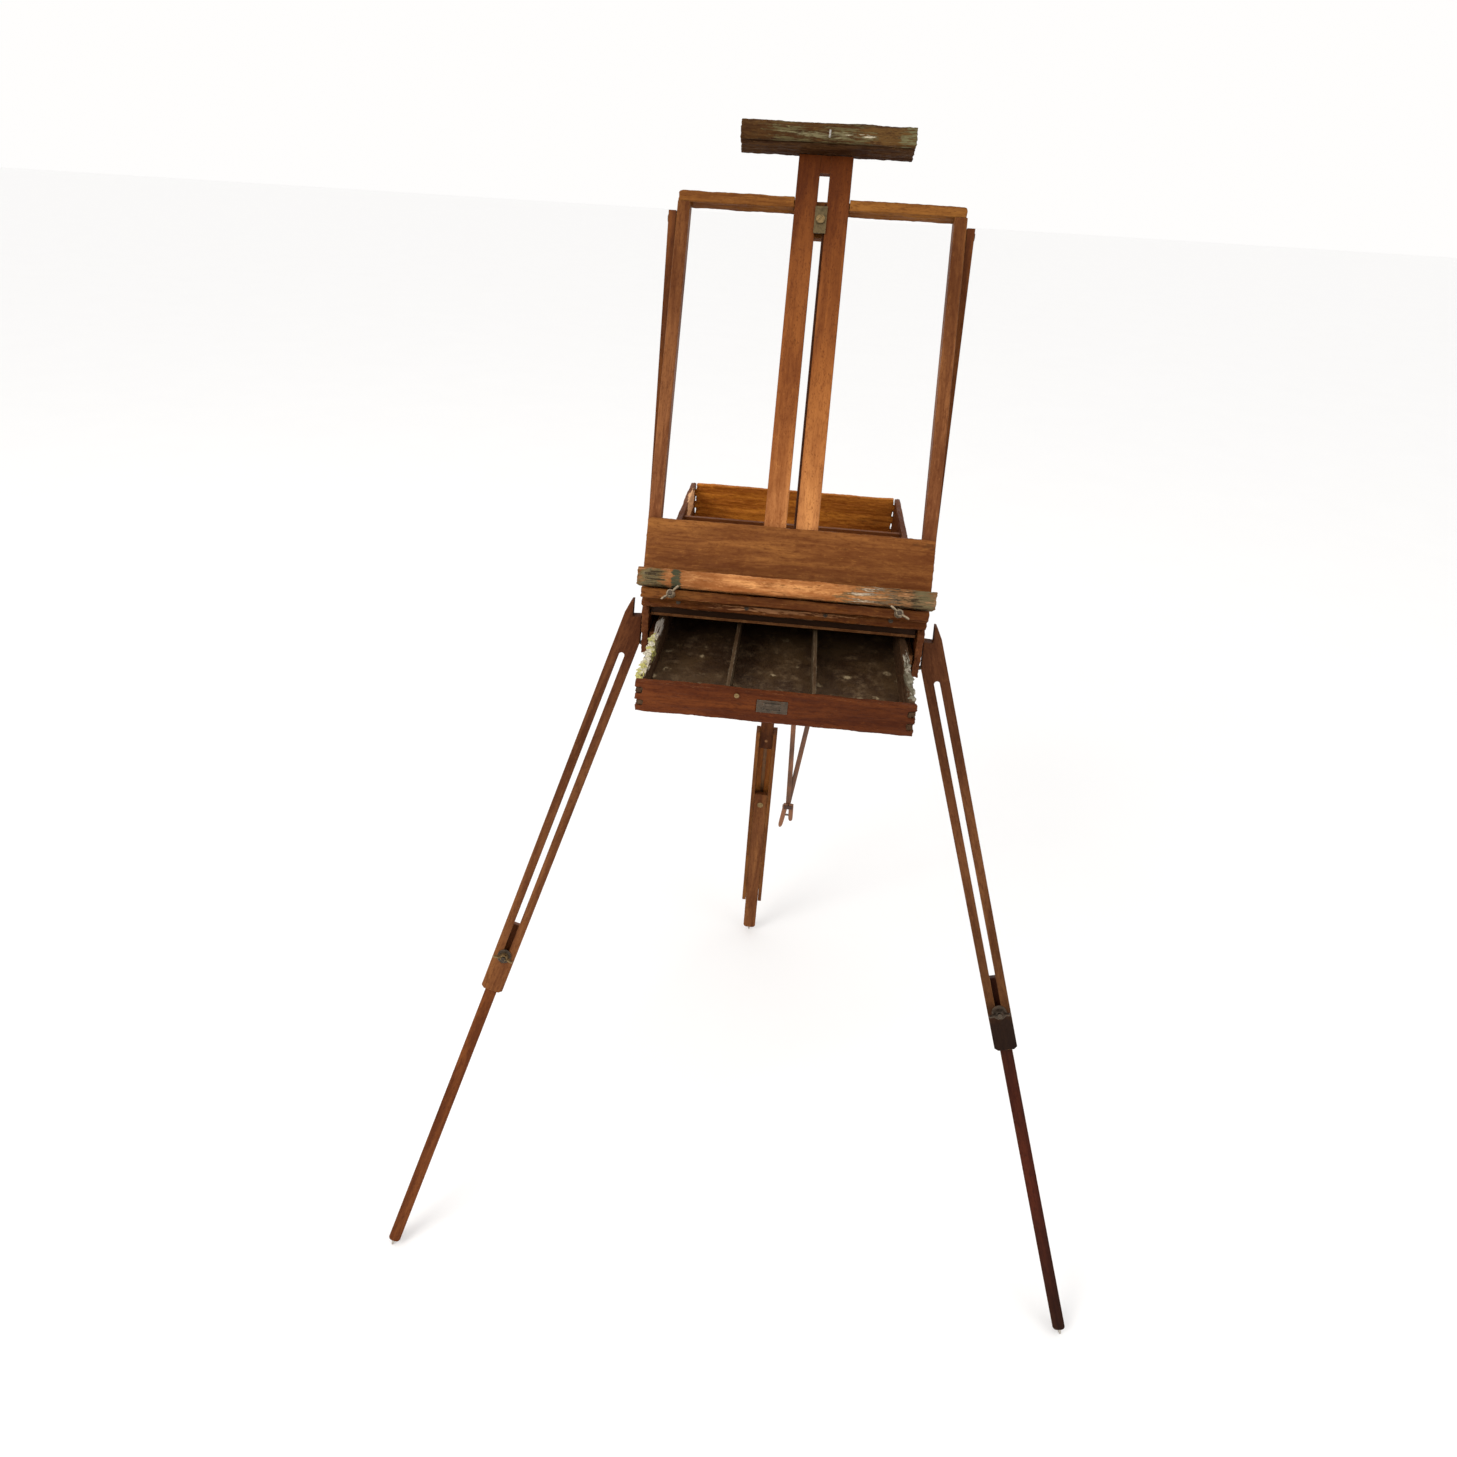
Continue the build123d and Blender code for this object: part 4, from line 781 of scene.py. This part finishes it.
def strand(name, start, stops, thick):
    """A flat strip drawn out station by station; each stop has a place and a narrowing of the width."""
    put_down()
    bpy.ops.mesh.primitive_plane_add(size=1, location=(0, 0, 0))
    piece = bpy.context.object
    piece.scale = (STRAP_WIDE, thick, 1)
    piece.location = start
    bpy.ops.object.transform_apply(location=True, rotation=False, scale=True)
    bpy.ops.object.mode_set(mode="EDIT")
    bpy.ops.mesh.select_all(action="SELECT")
    here = Vector(start)
    for stop, width in stops:
        step = Vector(stop) - here
        bpy.ops.mesh.extrude_region_move(TRANSFORM_OT_translate={"value": step})
        if width != 1.0:
            bpy.ops.transform.resize(value=(width, 1, 1), center_override=Vector(stop))
        here = Vector(stop)
    bpy.ops.mesh.select_all(action="SELECT")
    bpy.ops.mesh.remove_doubles(threshold=SAME_POINT)
    bpy.ops.mesh.normals_make_consistent(inside=False)
    bpy.ops.object.mode_set(mode="OBJECT")
    round_rims(piece, 0.0007, angle=40)
    settle(piece, name)
    bpy.ops.object.shade_smooth_by_angle(angle=math.radians(35))
    return piece


def hanging(top_x, y):
    """Stations down one strand: it bows a little sideways, as old leather does."""
    stops = []
    for index in range(1, STATIONS + 1):
        t = index / STATIONS
        x = top_x + (low_x - top_x) * t + math.sin(math.pi * t) * 0.0018
        z = strap_high.z + (joint_z - strap_high.z) * t
        stops.append((Vector((x, y + 0.0004 * math.sin(5 * t), z)), 1.0))
    return stops


strands = []
for name, top_x, y in (("strap_left_strand", left_top_x, near_y), ("strap_right_strand", right_top_x, far_y)):
    strands.append(strand(name, (top_x, y, strap_high.z), hanging(top_x, y), STRAND_THICK))
tip_y = strap_low.y + 0.0015
tip_top = joint_z + 0.006
for name, x, lean, length in (("strap_long_tip", low_x - 0.005, -0.009, 0.068),
                              ("strap_short_tip", low_x + 0.007, 0.002, 0.048)):
    stops = [(Vector((x + lean * t, tip_y, tip_top - length * t)), width) for t, width in
             ((0.25, 1.0), (0.5, 0.98), (0.75, 0.97), (0.90, 0.9), (0.96, 0.72), (1.0, 0.45))]
    strands.append(strand(name, (x, tip_y, tip_top), stops, TIP_THICK))
strap = joined(strands)
strap.name = "leather_strap"
dress(hide, strap)
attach(strap, "box")
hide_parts("carrying_strap")

# stitches near the strap's ends, copied from one
put_down()
bpy.ops.mesh.primitive_uv_sphere_add(segments=10, ring_count=6, radius=1.0)
stitch = bpy.context.object
bpy.ops.object.shade_smooth()
thread = dried_paint("waxed_thread", ((0.34, 0.26, 0.15), (0.24, 0.17, 0.09), (0.10, 0.06, 0.03)))
threads = []
for top_x, y, outward in ((left_top_x, near_y, -1), (right_top_x, far_y, 1)):
    for index in range(9):
        down = 0.012 + 0.0045 * index
        t = down / (strap_high.z - joint_z)
        for side in (-1, 1):
            one = clone(stitch)
            x = top_x + (low_x - top_x) * t + side * (STRAP_WIDE / 2 - 0.0016)
            spot = Vector((x, y + STRAND_THICK / 2 * outward, strap_high.z - down))
            one.data.transform(Matrix.Translation(spot) @ Matrix.Diagonal((0.00035, 0.00035, 0.0015, 1)))
            threads.append(one)
stitching = joined(threads)
stitching.name = "strap_stitching"
dress(thread, stitching)
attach(stitching, "box")
weathered("strap_buckle", upright, "box", 0.0005, 0.0, 0.0003, 0.0002, smooth=3, stretch=0.004)

# the leather keeper that holds both strands above the buckle
put_down()
bpy.ops.mesh.primitive_cube_add(size=1, location=(low_x, (strap_low.y + strap_high.y) / 2, joint_z - 0.004))
keeper = bpy.context.object
keeper.scale = (STRAP_WIDE + 0.008, strap_high.y - strap_low.y + 0.002, 0.010)
bpy.ops.object.transform_apply(location=True, rotation=False, scale=True)
bpy.ops.object.mode_set(mode="EDIT")
bpy.ops.mesh.select_mode(type="FACE")
bpy.ops.object.mode_set(mode="OBJECT")
for face in keeper.data.polygons:
    face.select = abs(face.normal.z) > 0.9
bpy.ops.object.mode_set(mode="EDIT")
bpy.ops.mesh.inset(thickness=0.0012, use_individual=True)
bpy.ops.mesh.bridge_edge_loops()
bpy.ops.object.mode_set(mode="OBJECT")
round_rims(keeper, 0.0005)
settle(keeper, "strap_keeper")
bpy.ops.object.shade_smooth_by_angle(angle=math.radians(40))
dress(dark_hide, keeper)
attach(keeper, "box")

for pattern in (big_screw, small_screw, lump, stitch):
    bpy.data.objects.remove(pattern)

# ---- floor, light and camera ----
put_down()
bpy.ops.mesh.primitive_plane_add(size=60, location=(0, 0, 0))
floor = bpy.context.object
floor.name = "floor"
paper = Finish("pale_floor")
speckle = paper.noise(paper.scaled(paper.place, (3, 3, 3)), 1.0, 3.0)
floor_colour = paper.mix(speckle, (0.95, 0.95, 0.95, 1), (0.97, 0.97, 0.97, 1))
dress(paper.close(floor_colour, paper.band(speckle, 0.2, 0.8, 0.85, 0.95), gloss=0.1), floor)

world = bpy.data.worlds.new("room")
bpy.context.scene.world = world
world.use_nodes = True
sky = world.node_tree.nodes["Background"]
sky.inputs[0].default_value = (1.0, 0.99, 0.98, 1)
sky.inputs[1].default_value = 1.0


def lamp(name, place, aim, size, power, tint=(1, 1, 1)):
    """A soft square lamp at a place, aimed at a point."""
    data = bpy.data.lights.new(name, "AREA")
    data.size = size
    data.energy = power
    data.color = tint
    thing = bpy.data.objects.new(name, data)
    bpy.context.scene.collection.objects.link(thing)
    thing.location = place
    thing.rotation_euler = (Vector(aim) - Vector(place)).to_track_quat("-Z", "Y").to_euler()


lamp("window", (-2.6, -2.6, 3.4), (0, 0, 0.8), 2.2, 70, (1.0, 0.97, 0.93))
lamp("fill", (3.0, -1.8, 2.2), (0, 0, 0.9), 2.5, 12)

YAW, PITCH, ROLL = math.radians(4.324), math.radians(29.55), math.radians(3.32)
level = Matrix(((1, 0, 0), (0, 0, -1), (0, 1, 0)))
turn_z = Matrix(((math.cos(YAW), math.sin(YAW), 0), (-math.sin(YAW), math.cos(YAW), 0), (0, 0, 1)))
turn_x = Matrix(((1, 0, 0), (0, math.cos(PITCH), -math.sin(PITCH)), (0, math.sin(PITCH), math.cos(PITCH))))
turn_roll = Matrix(((math.cos(ROLL), -math.sin(ROLL), 0), (math.sin(ROLL), math.cos(ROLL), 0), (0, 0, 1)))
axes = turn_roll @ turn_x @ level @ turn_z
facing = Matrix((axes[0], -axes[1], -axes[2])).transposed().to_4x4()
box_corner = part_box("box_right_side")[0]
facing.translation = Vector((0.00185, box_corner.y - 1.2970, box_corner.z + 0.6548))
eye = bpy.data.cameras.new("eye")
eye.sensor_width = 36
eye.lens = 24.35
eye.shift_x = 0.0127
eye.shift_y = -0.0133
camera = bpy.data.objects.new("eye", eye)
bpy.context.scene.collection.objects.link(camera)
camera.matrix_world = facing
bpy.context.scene.camera = camera
bpy.context.scene.view_settings.view_transform = "Standard"
